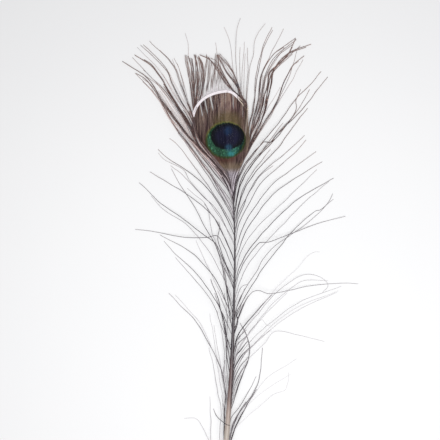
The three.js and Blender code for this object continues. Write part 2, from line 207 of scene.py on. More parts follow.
UPPER_RIGHT = [
    (57, 0.7, [(-3, 65.5), (0, 74), (4.5, 84), (5.5, 95), (7.5, 103.5), (9, 115), (10, 126), (14, 145),
               (20.5, 159)]),
    (56.5, 0.8, [(-3, 65.5), (0.5, 74), (5, 83.5), (8, 99.5), (10.5, 108), (12, 117), (13, 127), (20, 140),
                 (35.5, 152)]),
    (56.2, 0.5, [(-3, 65), (0.5, 74), (5, 83.5), (7.5, 96.5), (10.5, 104.5), (12, 112), (14, 121),
                 (14.5, 128)]),
    (56, 0.5, [(-3, 65), (0.5, 74), (5, 83.5), (9, 99.5), (12, 111.5), (14.5, 130), (28, 158)]),
    (55.5, 0.75, [(-3, 65), (0.5, 74), (5, 83.5), (9.5, 99.5), (12.5, 109.5), (14, 118), (16, 128),
                 (21.5, 139), (36, 151)]),
    (54.5, 0.5, [(-3, 64.5), (1, 74), (5, 84), (10, 97.5), (14, 111), (15.5, 120), (18, 130), (28.5, 146)]),
    (54, 1.05, [(-3, 64), (1, 74), (7, 89.5), (12, 101.5), (15.5, 114.5), (17.5, 122), (18.5, 129.5),
               (29.5, 140), (35.5, 151.5)]),
    (53.5, 0.6, [(-2.5, 64), (1, 74), (6.5, 85), (11.5, 96.5), (15, 107.5), (17.5, 117.5), (19, 124)]),
    (53, 0.8, [(-2.5, 63.5), (1, 73.5), (8.5, 88), (14, 100.5), (16.5, 111), (18, 121), (20.5, 130),
               (38.5, 147)]),
    (52, 1.1, [(-2.5, 63.5), (1, 73.5), (8.5, 87.5), (14, 100), (17.5, 111.5), (20, 122), (21.5, 131.5),
                (31.5, 142.5), (45, 148)]),
    (51, 0.9, [(-2.5, 62.5), (1.5, 73.5), (9, 86.5), (16, 98.5), (23.5, 111), (28, 123), (34, 134.5),
               (41, 140.5)]),
    (50.5, 0.6, [(-2.5, 62), (2, 73.5), (9.5, 86.5), (17, 99), (24, 111), (31, 126.5), (36.5, 143.5)]),
    (50, 0.35, [(-2.5, 60), (2, 74), (11, 91), (15.5, 103), (21.5, 113), (25.5, 120.5)]),
    (49, 0.4, [(-2.5, 60), (2.5, 74), (16, 96.5), (28.5, 117), (40.5, 138)]),
    (48.5, 0.65, [(-2.5, 59), (2, 73), (10, 87), (13.5, 93.5)]),
    (46.5, 0.8, [(-2.5, 58.5), (2.5, 70.5), (13.5, 83.5), (15, 85), (19.5, 85), (23, 89.5), (34, 100),
                 (42.5, 109.5),
                  (56, 127)]),
    (45.5, 0.75, [(-2.5, 56), (3, 70), (9.5, 78.5), (20.5, 92.5), (28.5, 102.5), (37, 114.5), (46, 123),
                  (52, 130.5)]),
    (42, 0.7, [(0, 59), (5, 69), (19.5, 85), (25, 92), (35.5, 103.5), (44.5, 119)]),
    (40, 0.85, [(0.5, 58.5), (6, 68.5), (20, 84.5), (26.5, 92), (33.5, 101), (36, 107.5), (35.5, 112),
                (39, 119)]),
    (38, 0.6, [(-0.5, 55.5), (4.5, 66.5), (11, 75), (22, 90.5), (27.5, 97.5)]),
    (35.5, 0.6, [(1.5, 54), (7, 64.5), (14, 73.5), (19.5, 80.5)]),
    (33, 0.8, [(0.5, 49.5), (5.5, 60), (12, 68.5), (23, 80), (31.5, 91.5), (43, 107)]),
    (29, 0.6, [(-1.5, 38), (1.5, 45), (7.5, 56), (14, 64.5), (21, 70)]),
]
# Pinkish white barbs on the right: painted highlights that stand for glossy barbs catching the light.
HIGHLIGHT_BARBS_UPPER_RIGHT = [
    (55.2, 0.4, [(-3, 65), (0.5, 74), (5, 84.5), (9, 98), (12, 107.5), (13.5, 117)]),
    (55, 0.5, [(-3, 65), (1, 74), (5, 84.5), (9.5, 99), (13, 108), (15, 117)]),
    (52.5, 0.5, [(-2.5, 63.5), (1, 73.5), (5.5, 82), (10.5, 95.5), (14.5, 105)]),
    (51.5, 0.45, [(-2.5, 63), (1.5, 73.5), (9, 87.5), (14.5, 98)]),
]
MIDDLE_RIGHT = [
    (27, 0.65, [(-1.5, 35.5), (1.5, 43), (6.5, 55), (13, 64.5), (29, 78), (41.5, 89.5)]),
    (21.5, 0.65, [(-1.5, 30.5), (2, 39), (8, 50.5), (14, 59.5), (29, 73), (36, 79), (42, 86.5)]),
    (15, 0.65, [(-1.5, 21), (4.5, 36.5), (14.5, 50.5), (22, 59.5), (31, 66), (48.5, 79)]),
    (10.5, 0.7, [(-1, 16), (2.5, 26), (8, 35), (16, 46), (24.5, 54.5), (46, 68.5), (52.5, 72.5)]),
    (1, 0.45, [(-1.5, 8.5), (2, 18.5), (8, 27.5), (20, 39.5), (35.5, 54), (49, 67.5)]),
    (-4.5, 0.75, [(-1, 4), (3.5, 13), (10, 22), (25, 38), (37, 48.5), (46, 54), (60, 62)]),
    (-8.5, 0.65, [(-1, 1), (3.5, 10), (9.5, 18), (12, 20.5), (18, 21), (31.5, 26), (50.5, 33),
                  (67.5, 37.5)]),
    (-14.5, 0.45, [(-2.5, -11), (0.5, -2), (5.5, 7.5), (11.5, 15.5), (26.5, 31.5), (43, 48), (57, 60)]),
    (-18, 0.55, [(-2.5, -15), (0, -9), (2, -7), (4.5, -6.5)]),
    (-24.5, 0.5, [(-2, -19), (3.5, -8), (9.5, 1.5), (15, 10.5), (22, 18.5), (40.5, 31), (55.5, 44.5),
                  (60, 48.5)]),
    (-27, 0.85, [(-2.5, -21.5), (-1, -18), (3, -9)]),
    (-29, 0.65, [(-2, -23), (0.5, -18.5), (10, -2), (20, 11.5), (30, 24), (42, 36), (48.5, 41),
                 (51.5, 41.5),
                 (56.5, 46), (59.5, 52)]),
    (-34, 0.85, [(-2.5, -30.5), (-1.5, -28), (-2.5, -26), (-2, -23.5), (1, -18.5)]),
]
LOWER_RIGHT = [
    (-36, 0.5, [(-1.5, -27), (3.5, -16), (8, -10.5), (12, -10), (18, -12), (31, -10), (42.5, -7.5),
                (67, -5.5),
                (76, -6)]),
    (-36.5, 1.0, [(-2, -29.5), (-0.5, -25.5), (1, -22), (3.5, -16.8), (5.5, -13.5)]),
    (-37.5, 0.9, [(-2.5, -33), (-1.5, -29.5), (-2.3, -26.5), (-1, -23.5), (0.5, -20)]),
    (-49, 0.35, [(-2, -42.5), (2, -36), (11.5, -24), (22.5, -12), (32.5, -4), (41.5, 0), (48.5, -0.5),
                 (54, -3.5),
                (56, -7.5), (53, -11.5)]),
    (-49.5, 0.8, [(-2, -41.5), (4, -35.5)]),
    (-50, 0.95, [(-2.5, -40.5), (3, -32), (14, -19.5), (20.5, -13)]),
    (-53, 0.15, [(0.5, -38), (4.5, -32), (14.5, -19), (25, -6.5), (36, 3.5), (44, 12.5), (48, 14.5),
                 (51, 14.5)]),
    (-55, 0.8, [(-2, -45.5), (4, -39.5)]),
    (-56, 0.25, [(-1, -47.5), (6.5, -35.5), (14, -27.5), (21.5, -20), (30, -12)]),
    (-58, 0.28, [(-1.5, -47.5), (2, -41.5), (11.5, -29.5), (22, -17), (32.5, -9), (40.5, -4), (56.5, -4)]),
    (-59, 0.28, [(1, -49), (11, -37.5), (21.5, -29), (30.5, -22), (40.5, -16.5), (65, -7.5)]),
    (-60, 1.15, [(-2.5, -51.5), (0, -48.5), (5, -42.5)]),
    (-62, 0.2, [(-2, -50), (5, -38.5), (9.5, -33.5), (14, -29), (17, -32.5), (19.5, -33)]),
    (-65, 0.25, [(1.5, -52.5), (12, -41.5), (20, -34.5), (29.5, -27.5), (40.5, -21), (62, -11.5)]),
    (-68, 1.15, [(-3.5, -59), (1, -52), (5.5, -47.5)]),
    (-68.5, 0.22, [(-1, -56.5), (9.5, -43), (25, -28.5), (36.5, -21), (63, -10.5)]),
    (-70, 0.35, [(-3, -61), (3, -50), (10.5, -43), (19.5, -35.5)]),
    (-73, 0.8, [(-3.5, -65.5), (0, -59), (5, -53)]),
    (-76, 0.28, [(-3.5, -69), (-0.5, -63), (7, -51.5), (15.5, -44), (22, -36.5), (35.5, -38.5), (54, -43)]),
    (-78, 0.8, [(-4, -71), (-0.5, -64), (3.5, -58)]),
    (-82, 0.5, [(-3.5, -73), (0.5, -64.5)]),
    (-84, 0.5, [(-5, -80.5), (-2, -71.5), (1.3, -63.5), (5.7, -51.5), (6, -46.5), (4.2, -39), (1.5, -33)]),
    (-86, 0.8, [(-5, -82.5), (-2, -73.5), (1, -65), (5.5, -52), (6, -46.5), (4, -39), (-0.5, -31)]),
    (-96, 0.75, [(-8.3, -95.5), (-10.5, -94.5), (-13.5, -92.3), (-15.5, -90), (-17.2, -86.2)]),
    (-99, 0.6, [(-6, -92), (-1, -85), (5, -75.5), (10.5, -65.5)]),
    (-103, 0.13, [(-5, -95), (2, -85), (10, -75), (16.5, -67), (36.5, -54)]),
    (-106, 0.1, [(-4.5, -97), (-1, -90.5), (8.5, -80), (21.5, -70.5), (32.5, -64)]),
    (-109, 0.14, [(-5, -101), (5, -90), (14.5, -82.5), (21.5, -77), (29, -74), (30, -70.5), (31, -63)]),
    (-112, 1.1, [(-6.4, -104), (-5.2, -99), (-3.2, -93.5), (0.5, -86.5), (3.5, -82)]),
    (-113, 0.75, [(-7.5, -106), (-6, -101), (-3.5, -92), (1.5, -85), (7.5, -77.5), (11, -70.5),
                  (13.5, -56.5),
                  (14.5, -47)]),
    (-114, 1.25, [(-6, -105.5), (-4.5, -101), (-1, -93), (6.5, -80), (10.5, -74)]),
]
BASE_LEFT = [
    (-110.5, 0.4, [(-15, -109), (-28, -108.5)]),
    (-113.5, 0.35, [(-15, -112), (-25, -111.5)]),
    (-116.5, 0.4, [(-16, -115), (-29, -114.5)]),
    (-119.5, 0.3, [(-15, -118.5), (-22, -118.5)]),
    (-122.5, 0.35, [(-16, -121.5), (-24.5, -122.5)]),
]
BASE_RIGHT = [
    (-110.5, 0.4, [(-3, -108.5), (7, -108), (14, -109)]),
    (-113, 0.35, [(-3, -111.5), (9, -111.5)]),
    (-115.5, 0.4, [(-4, -113.5), (5, -113), (14, -114.5)]),
    (-118, 0.3, [(-5, -116.5), (3, -117)]),
    (-120.5, 0.35, [(-4, -119), (7.5, -121)]),
]

# The eye's web: guide barbs from left to right on each side. Each ends on the white arc.
WEB_LEFT = [
    (51, [(-8.3, 60.5), (-11.6, 66), (-18.8, 74.5), (-25.8, 85), (-30.2, 94.5), (-29.8, 101)]),
    (55, [(-7.8, 62.5), (-11, 68.5), (-17.3, 79.5), (-22.7, 92), (-26.2, 101), (-27.2, 108)]),
    (59, [(-7, 64), (-10.3, 71), (-13.8, 81.5), (-16.3, 93.5), (-18.6, 105), (-20.5, 114)]),
    (64, [(-7.1, 69), (-8.1, 75), (-8.75, 83), (-8.95, 94), (-8.85, 107), (-8.7, 117)]),
]
WEB_RIGHT = [
    (65, [(-6.6, 70), (-7.5, 76), (-8.2, 84), (-8.4, 95), (-8.3, 107), (-8.2, 116.9)]),
    (62, [(-5.5, 66.5), (-4.6, 73.5), (-3.5, 83), (-3.3, 94), (-3.5, 105), (-3.8, 114.9)]),
    (58, [(-4.6, 63.5), (-2.6, 70.5), (0.2, 80.5), (1.2, 91), (0.8, 101), (0.4, 110.4)]),
    (53, [(-4, 60.5), (-1.3, 68), (3, 77), (5.2, 86.5), (4.5, 96), (4.2, 105.6)]),
]
WEB_BARBS_LEFT = 30
WEB_BARBS_RIGHT = 22
WEB_WEIGHT = 0.35                       # the weight of each of them past the arc
WEB_RISE = 0.5                          # how much higher they lie than a loose barb would
ARC_SAMPLES = 25                        # points on each side from which the arc's edge is worked out
SLITS_LEFT = {12, 16, 20}               # slit k is the gap between web barbs k and k + 1
SLITS_RIGHT = {5, 15}
SLIT_REACH = {1: 0.08, 2: 0.45}         # share of their reach that the barbules next to a slit keep
SLIT_LENGTH = 12                        # how far a slit reaches down from the arc
SHORT_STUBS = (2.2, 3.0)                # how far the web's own barbs run on past the arc
LONG_STUBS = (3.5, 8.0)
LONG_STUB_EVERY = 3                     # one web barb in so many has a long one
STUB_SCATTER = 0.4                      # how far their ends stray
EDGE_STRANDS = 4                        # fine white strands that run along the arc
EDGE_SPACING = 0.42                     # from one to the next
EDGE_START = 0.3                        # how many spacings inside the arc's edge the first one lies
EDGE_RADIUS = 0.25
EDGE_RISE = 0.4                         # how far they lie over the web
EDGE_STEP = 0.6                         # spacing of their points
EDGE_EVERY = 3                          # they follow one web barb's end in so many
WHITE_FRINGE = 0.5                      # barbules' length on a crest strand that starts white
CREST_RISE = 0.3                        # how much higher the crest's strands lie than a loose barb would
CLIMB = 3.0                             # how far past the arc its dark left strands have climbed
OVER_STUBS = 0.6                        # and how high, over the web barbs' white ends
CROSSING_RISE = 1.3                     # how high its dark right strands climb on their way to the arc
CREST_TWINS_WEIGHT = 0.75               # its strands heavier than this have a second one
CREST_TWIN_SCATTER = 0.35               # how far the second one's points stray

# Barbs that run on past the arc as the crest: (place across the web, weight, how many mm they stay
# white past the arc, points past the arc). A barb with 0 is dark all the way up.
CREST_LEFT = [
    (0.0, 0.8, 0, [(-31, 112), (-32, 121.5), (-33.5, 128.5), (-35, 136), (-35.5, 141)]),
    (0.0, 0.4, 0, [(-31.5, 120), (-33.5, 134), (-33.5, 147.5), (-35.5, 155)]),
    (0.01, 0.7, 0, [(-30.5, 112), (-31, 121), (-32.5, 130), (-34, 140.5)]),
    (0.02, 1.3, 0, [(-29.5, 113), (-30, 121.5), (-31, 130), (-32.5, 137), (-33.5, 140.5)]),
    (0.03, 1.1, 0, [(-29.3, 112), (-29.5, 121), (-30, 130), (-31.5, 139)]),
    (0.04, 1.7, 0, [(-28.5, 113), (-28, 121.5), (-27.5, 129), (-28, 136), (-29, 140)]),
    (0.06, 1.6, 0, [(-28.3, 112.5), (-27.2, 121), (-27, 129), (-28.5, 137), (-29.5, 141)]),
    (0.09, 0.9, 0, [(-27.8, 113), (-26.5, 122), (-26, 131), (-27.5, 139), (-30, 141)]),
    (0.12, 1.5, 0, [(-25.5, 114.5), (-24.3, 124.5), (-24.2, 131), (-25, 135), (-26.8, 139)]),
    (0.15, 1.2, 0, [(-25, 115), (-23.6, 124.5), (-23.6, 131), (-24.5, 136), (-27, 140)]),
    (0.0, 1.5, 0, [(-29.8, 111), (-29.3, 120), (-28.9, 127.5), (-28.6, 134.5), (-28.9, 141)]),
    (0.01, 1.2, 0, [(-29.8, 112), (-29.7, 118), (-29.8, 125), (-30.1, 132.5), (-30.8, 138.5)]),
    (0.0, 1.0, 0, [(-30.8, 111), (-32.2, 121.5), (-33.7, 131), (-34.8, 141)]),
    (0.0, 1.2, 0, [(-29.9, 111), (-30.5, 120), (-31.1, 127.5), (-31.6, 134.5), (-33, 139)]),
    (0.08, 1.3, 0, [(-26.5, 114.8), (-25.6, 120), (-25.3, 125), (-24.9, 131), (-25.6, 135.5),
                    (-26.8, 140)]),
    (0.48, 0.8, 2.2, [(-24, 119), (-23.2, 127.5), (-22.2, 136), (-21.3, 140.5)]),
    (0.52, 0.9, 2.4, [(-23.5, 119), (-22.6, 128), (-21.5, 136), (-22, 141)]),
    (0.61, 1.1, 2.4, [(-21.5, 119), (-21, 124.5), (-20.6, 133), (-21, 139.5)]),
    (0.65, 1.0, 2.6, [(-21, 119.5), (-20, 126), (-20, 133), (-19.8, 139)]),
    (0.67, 0.8, 3.2, [(-19, 118.5), (-18.5, 124.5), (-19, 130), (-18.5, 136)]),
    (0.74, 0.6, 4, [(-18.5, 120), (-18, 126), (-17.5, 131), (-19, 137)]),
    (0.75, 1.0, 2.8, [(-18, 119), (-17.5, 124.5), (-16.3, 133.5), (-16, 139), (-16, 142)]),
    (0.78, 0.9, 4, [(-17, 120.5), (-16.5, 127), (-15.8, 134), (-15.4, 140)]),
    (0.8, 0.5, 4.5, [(-16, 122), (-15.8, 130), (-14.5, 135), (-16, 149)]),
    (0.83, 0.85, 3, [(-15.5, 122), (-14.6, 128), (-14.2, 133.5), (-13.8, 139.5)]),
    (0.85, 0.9, 4.5, [(-15, 121.5), (-14.2, 127), (-14.2, 132), (-15.5, 136)]),
    (0.87, 0.5, 1.5, [(-14, 121.5), (-13.3, 126.5), (-13.5, 132), (-14.3, 137), (-15.5, 141)]),
    (0.9, 0.95, 4, [(-13, 121.5), (-12.4, 126), (-12.6, 131), (-13.6, 135), (-15, 140)]),
    (0.92, 0.5, 1.5, [(-12, 121.5), (-11.8, 126), (-12.3, 131), (-13, 136.5)]),
    (0.95, 0.9, 3.5, [(-11, 121.5), (-10.9, 125.5), (-11.8, 130)]),
    (0.97, 0.5, 1.5, [(-10, 121), (-10.2, 124.5), (-11, 128.5)]),
    (0.99, 0.8, 3, [(-9, 120.5), (-9.3, 123.5), (-10, 126.5)]),
]
CREST_RIGHT = [
    (0.98, 1.8, 0, [(3.5, 109.5), (1, 112.5), (-5, 118), (-9, 122.5), (-16.5, 133.5), (-20.5, 139.5)]),
    (0.93, 1.6, 0, [(3, 110.5), (0.5, 113), (-4.5, 118), (-12, 128.5), (-19.5, 138), (-26, 141)]),
    (0.88, 1.0, 0, [(-0.5, 112.5), (-4.5, 117.5), (-8, 123.5), (-11, 129.5), (-15, 136.5), (-19, 139)]),
    (0.95, 1.6, 0, [(3, 110.5), (0.5, 113.5), (-2.5, 121), (-9.5, 130.5), (-14.5, 141)]),
    (0.9, 0.8, 0, [(2, 111.5), (-1.2, 119), (-5.5, 125), (-9.8, 131), (-13, 138), (-15, 141.5)]),
    (0.87, 0.8, 0, [(1.5, 112), (-3, 123.3), (-8, 129), (-12, 136.5), (-15, 141)]),
    (0.82, 0.6, 0, [(0.5, 113.5), (-3.5, 124.5), (-6.5, 129.5), (-10.5, 136), (-14, 141)]),
    (0.96, 1.4, 0, [(3.5, 110), (1.5, 113.5), (-2, 123.5), (-5.5, 130.5), (-14, 141)]),
    (0.91, 0.8, 0, [(2.2, 112), (0, 117), (-1.8, 123), (-4.5, 130), (-8.5, 136), (-13, 141.5)]),
    (0.08, 0.8, 1.4, [(-7.2, 120), (-8, 122.5), (-9, 125)]),
    (0.18, 0.8, 1.6, [(-6.2, 118.5), (-7.3, 121), (-8.8, 123.5)]),
    (0.45, 0.45, 4, [(-3.5, 122), (-4.7, 131.5), (-6, 145), (-7.5, 152), (-10.5, 159)]),
    (0.5, 0.6, 0, [(-1.5, 118), (-2.5, 130), (-3, 141), (-2.8, 150), (-2, 158.5), (0, 164.5)]),
    (0.58, 0.65, 3, [(0, 118), (-0.3, 130), (-0.4, 138.5), (-0.2, 146)]),
    (0.66, 0.5, 3, [(0.8, 118), (1.2, 130), (2, 141), (2.7, 149.5)]),
    (0.75, 0.5, 3, [(2, 116), (2.5, 128), (2.8, 134), (3, 142)]),
    (0.85, 0.7, 0, [(3.6, 113), (4.3, 124.5), (5, 132.5), (4.5, 139.5), (4.7, 145.5)]),
    (0.94, 0.6, 0, [(4, 112.5), (5.3, 126), (6.5, 135), (8.5, 142), (9, 149), (11.5, 155), (16, 161)]),
]


# ---- lines ---------------------------------------------------------------------------------------

def smooth_line(points, step):
    """A smooth line through the points, in even steps of about `step`."""
    points = np.array(points, dtype=float)
    chords = np.linalg.norm(np.diff(points, axis=0), axis=1)
    spans = np.sqrt(np.maximum(chords, 1e-9))[:, None]
    slopes = np.diff(points, axis=0) / spans
    tangents = np.vstack([slopes[:1], slopes])
    tangents[1:-1] = (slopes[:-1] * spans[1:] + slopes[1:] * spans[:-1]) / (spans[1:] + spans[:-1])
    pieces = []
    t = np.linspace(0, 1, CURVE_SAMPLES, endpoint=False)[:, None]
    for i, span in enumerate(spans):
        pieces.append(
            (2 * t ** 3 - 3 * t ** 2 + 1) * points[i]
            + (t ** 3 - 2 * t ** 2 + t) * span * tangents[i]
            + (3 * t ** 2 - 2 * t ** 3) * points[i + 1]
            + (t ** 3 - t ** 2) * span * tangents[i + 1]
        )
    dense = np.vstack(pieces + [points[-1:]])
    length = arc_length(dense)[-1]
    return resample(dense, max(3, int(round(length / step)) + 1))


def arc_length(line):
    """The distance along a line at each of its points."""
    return np.concatenate([[0], np.cumsum(np.linalg.norm(np.diff(line, axis=0), axis=1))])


def points_at(line, along, places):
    """The points of a line at the given distances along it."""
    return np.column_stack([np.interp(places, along, line[:, k]) for k in range(line.shape[1])])


def resample(line, count):
    """The same line with `count` evenly spaced points."""
    along = arc_length(line)
    return points_at(line, along, np.linspace(0, along[-1], count))


def ripple(rng, along, wavelength, size):
    """A smooth seeded wobble along a line: three waves, each shorter and lower than the last."""
    total = np.zeros_like(along)
    for k in range(3):
        phase = rng.uniform(0, 2 * math.pi)
        total += math.sin(phase + k) * np.sin(2 * math.pi * along * (k + 1) / wavelength + phase) / (k + 1)
    return total * size


shaft_path = smooth_line(SHAFT_LINE, PATH_STEP)


def shaft_at(y):
    """Centre x, centre z and width of the shaft at a height y, in mm."""
    x = np.interp(y, shaft_path[:, 1], shaft_path[:, 0])
    z = np.interp(y, shaft_path[:, 1], shaft_path[:, 2])
    return x, z, np.interp(y, SHAFT_WIDTH_AT, SHAFT_WIDTHS)


def centre_line(root, points, step):
    """The flat line of a barb, from the middle of the shaft through its points."""
    return smooth_line([(shaft_at(root)[0], root)] + points, step)


# ---- meshes --------------------------------------------------------------------------------------

def wall_faces(rings, sides, low, high):
    """The triangles between the rings of a tube, and their corners' UVs, with v from low to high."""
    rows, columns = np.meshgrid(np.arange(rings - 1), np.arange(sides), indexing="ij")
    rows, columns = rows.ravel(), columns.ravel()
    a = rows * sides + columns
    b = rows * sides + (columns + 1) % sides
    c, d = b + sides, a + sides
    u0, u1 = rows / rings, (rows + 1) / rings
    v0 = low + (high - low) * columns / sides
    v1 = low + (high - low) * (columns + 1) / sides
    triangles = np.concatenate([np.stack([a, b, c], 1), np.stack([a, c, d], 1)])
    uvs = np.concatenate([
        np.stack([np.stack([u0, v0], 1), np.stack([u0, v1], 1), np.stack([u1, v1], 1)], 1),
        np.stack([np.stack([u0, v0], 1), np.stack([u1, v1], 1), np.stack([u1, v0], 1)], 1),
    ])
    return triangles, uvs


class Strands:
    """Closed tubes and needles that become one mesh, with a band of its baking UVs for each barb."""

    def __init__(self, bands):
        self.bands = bands
        self.points = []
        self.triangles = []
        self.corners = []
        self.smooth = []
        self.values = {"along": [], "tone": [], "past_arc": [], "fringe": []}
        self.count = 0

    def add(self, points, triangles, corner_uvs, smooth=True, **values):
        """Adds points and triangles. A value is one number for all the points or one for each."""
        self.points.append(points)
        self.smooth.append(np.full(len(triangles), smooth))
        self.triangles.append(triangles + self.count)
        self.corners.append(corner_uvs)
        for name, stack in self.values.items():
            stack.append(np.broadcast_to(values[name], len(points)).astype(float))
        self.count += len(points)

    def stem(self, band, line, radii, **values):
        """A closed tube of round section along the line."""
        tangent = np.gradient(line, axis=0)
        tangent /= np.linalg.norm(tangent, axis=1)[:, None]
        across = np.cross(tangent, (0, 0, 1))
        across /= np.linalg.norm(across, axis=1)[:, None]
        upward = np.cross(across, tangent)
        turn = np.arange(STEM_SIDES) * 2 * math.pi / STEM_SIDES
        ring = np.cos(turn)[None, :, None] * across[:, None, :]
        ring = ring + np.sin(turn)[None, :, None] * upward[:, None, :]
        points = (line[:, None, :] + ring * radii[:, None, None]).reshape(-1, 3)
        low = (band + STEM_BAND[0]) / self.bands
        high = (band + STEM_BAND[1]) / self.bands
        walls, wall_uvs = wall_faces(len(line), STEM_SIDES, low, high)
        last = (len(line) - 1) * STEM_SIDES
        fan = np.arange(1, STEM_SIDES - 1)
        caps = np.concatenate([
            np.stack([np.zeros_like(fan), fan + 1, fan], 1),
            np.stack([np.full_like(fan, last), last + fan, last + fan + 1], 1),
        ])
        patch = np.array([[0, low], [0.5 / len(line), low], [0, high]])
        root_uvs = np.broadcast_to(patch, (len(fan), 3, 2))
        tip_uvs = np.broadcast_to(patch + [(len(line) - 1.5) / len(line), 0], (len(fan), 3, 2))
        spread = {}
        for name, value in values.items():
            spread[name] = np.repeat(np.broadcast_to(value, len(line)), STEM_SIDES)
        corner_uvs = np.concatenate([wall_uvs, root_uvs, tip_uvs])
        self.add(points, np.concatenate([walls, caps]), corner_uvs, **spread)

    def needles(self, band, side, roots, tips, lengthways, width, thickness, along, **values):
        """A closed thin needle from each root to its tip."""
        depth = np.cross(tips - roots, lengthways)
        depth /= np.linalg.norm(depth, axis=1)[:, None]
        depth *= np.sign(depth[:, 2:3] + 1e-9)
        half = lengthways * width / 2
        points = np.stack([roots - half, roots + half, roots - depth * thickness, tips], 1)
        number = len(roots)
        edges = points[:, 1:] - points[:, :1]
        volume = np.einsum("ij,ij->i", np.cross(edges[:, 0], edges[:, 1]), edges[:, 2])
        shape = np.array([[0, 1, 2], [0, 3, 1], [1, 3, 2], [2, 3, 0]])
        faces = np.where(volume[:, None, None] < 0, shape[:, ::-1], shape)
        triangles = faces + 4 * np.arange(number)[:, None, None]
        start = (band + 0.5 + side * BARBULE_BAND[0]) / self.bands
        end = (band + 0.5 + side * BARBULE_BAND[1]) / self.bands
        half_u = BARBULE_U / max(number, 1) / 2
        corners = np.empty((number, 4, 2))
        corners[:, :, 0] = along[:, None] + half_u * np.array([-1, 1, 0, 0])
        corners[:, :, 1] = start + (end - start) * np.array([0, 0, 0.25, 1])
        uvs = np.take_along_axis(corners[:, None], faces[..., None], axis=2)
        spread = {}
        for name, value in values.items():
            value = np.asarray(value, dtype=float)
            spread[name] = value.ravel() if value.ndim == 2 else np.repeat(np.broadcast_to(value, number), 4)
        self.add(points.reshape(-1, 3), triangles.reshape(-1, 3), uvs.reshape(-1, 3, 2), smooth=False,
                 along=np.repeat(along, 4), **spread)

    def build(self, name, material):
        """The mesh object, in metres."""
        points = np.concatenate(self.points) * MM
        triangles = np.concatenate(self.triangles)
        mesh = bpy.data.meshes.new(name)
        mesh.vertices.add(len(points))
        mesh.vertices.foreach_set("co", points.astype(np.float32).ravel())
        mesh.loops.add(triangles.size)
        mesh.loops.foreach_set("vertex_index", triangles.astype(np.int32).ravel())
        mesh.polygons.add(len(triangles))
        mesh.polygons.foreach_set("loop_start", np.arange(0, triangles.size, 3, dtype=np.int32))
        mesh.polygons.foreach_set("use_smooth", np.concatenate(self.smooth))
        mesh.update(calc_edges=True)
        layer = mesh.uv_layers.new(name="OFBake")
        layer.uv.foreach_set("vector", np.concatenate(self.corners).astype(np.float32).ravel())
        for label, stack in self.values.items():
            attribute = mesh.attributes.new(label, "FLOAT", "POINT")
            attribute.data.foreach_set("value", np.concatenate(stack).astype(np.float32))
        mesh.materials.append(material)
        piece = bpy.data.objects.new(name, mesh)
        bpy.context.collection.objects.link(piece)
        return piece


def add_fringe(strands, band, rng, line, along, looks):
    """Barbules on both sides of a barb."""
    length = along[-1]
    for side in (LEFT, RIGHT):
        spacing = looks["spacing"]
        count = int((length - looks["bare"]) / spacing)
        if count < 2:
            continue
        places = looks["bare"] + (np.arange(count) + rng.uniform(0.1, 0.9, count)) * spacing
        places = np.minimum(places, length * 0.995)
        share = places / length
        roots = points_at(line, along, places)
        ahead = points_at(line, along, np.minimum(places + 0.5, length))
        behind = points_at(line, along, np.maximum(places - 0.5, 0))
        tangent = ahead - behind
        tangent /= np.linalg.norm(tangent, axis=1)[:, None]
        outward = np.cross(tangent, (0, 0, 1)) * side
        outward /= np.linalg.norm(outward, axis=1)[:, None]
        angle = np.radians(looks["angle"] + rng.normal(0, looks["angle_spread"], count))
        reach = looks["reach"](share, places, side) * rng.uniform(0.75, 1.15, count)
        tilt = rng.normal(looks["tilt"], looks["tilt_spread"], count)
        direction = tangent * np.cos(angle)[:, None] + outward * np.sin(angle)[:, None]
        direction[:, 2] += tilt
        direction /= np.linalg.norm(direction, axis=1)[:, None]
        tips = roots + direction * reach[:, None]
        tips[:, 2] = np.maximum(tips[:, 2], LOWEST_TIP)
        kept = reach > SHORTEST_BARBULE
        past = looks["past_arc"](places)
        past_tip = looks["past_at"](tips) if "past_at" in looks else past + reach * np.cos(angle)
        past = np.stack([past, past, past, past_tip], 1)
        strands.needles(
            band, side, roots[kept], tips[kept], tangent[kept], looks["needle_width"],
            looks["needle_depth"], share[kept], tone=looks["tone"], past_arc=past[kept], fringe=1.0,
        )


def barb_line(rng, side, root, points, reach=None, lift=1.0, waver=0.25):
    """The 3-D line of one barb: out of the shaft's side, down, and along the surface."""
    x, z, width = shaft_at(root)
    flat = smooth_line([(x + side * width * ROOT_OFFSET, root)] + points, LINE_STEP)
    along = arc_length(flat)
    reach = reach or along[-1] * LIES_FLAT_FROM
    height = z * np.cos(math.pi / 2 * np.minimum(along / reach, 1))
    grow = np.clip(along / STEADY_FOR, 0, 1)
    height = height + np.abs(ripple(rng, along, LIFT_WAVELENGTH, lift)) * grow
    wobble = ripple(rng, along, WAVER_WAVELENGTH, waver) * grow
    line = np.column_stack([flat[:, 0] + wobble, flat[:, 1], np.maximum(height, REST_HEIGHT)])
    return line, arc_length(line)


def over_the_shaft(line):
    """Lifts a line over the shaft wherever it crosses it."""
    x, z, width = shaft_at(line[:, 1])
    aside = np.abs(line[:, 0] - x)
    half = width / 2 + SHAFT_CLEARANCE
    top = z + SHAFT_DEPTH_RATIO * np.sqrt(np.maximum(half ** 2 - aside ** 2, 0))
    line[:, 2] = np.where(aside < half, np.maximum(line[:, 2], top), line[:, 2])


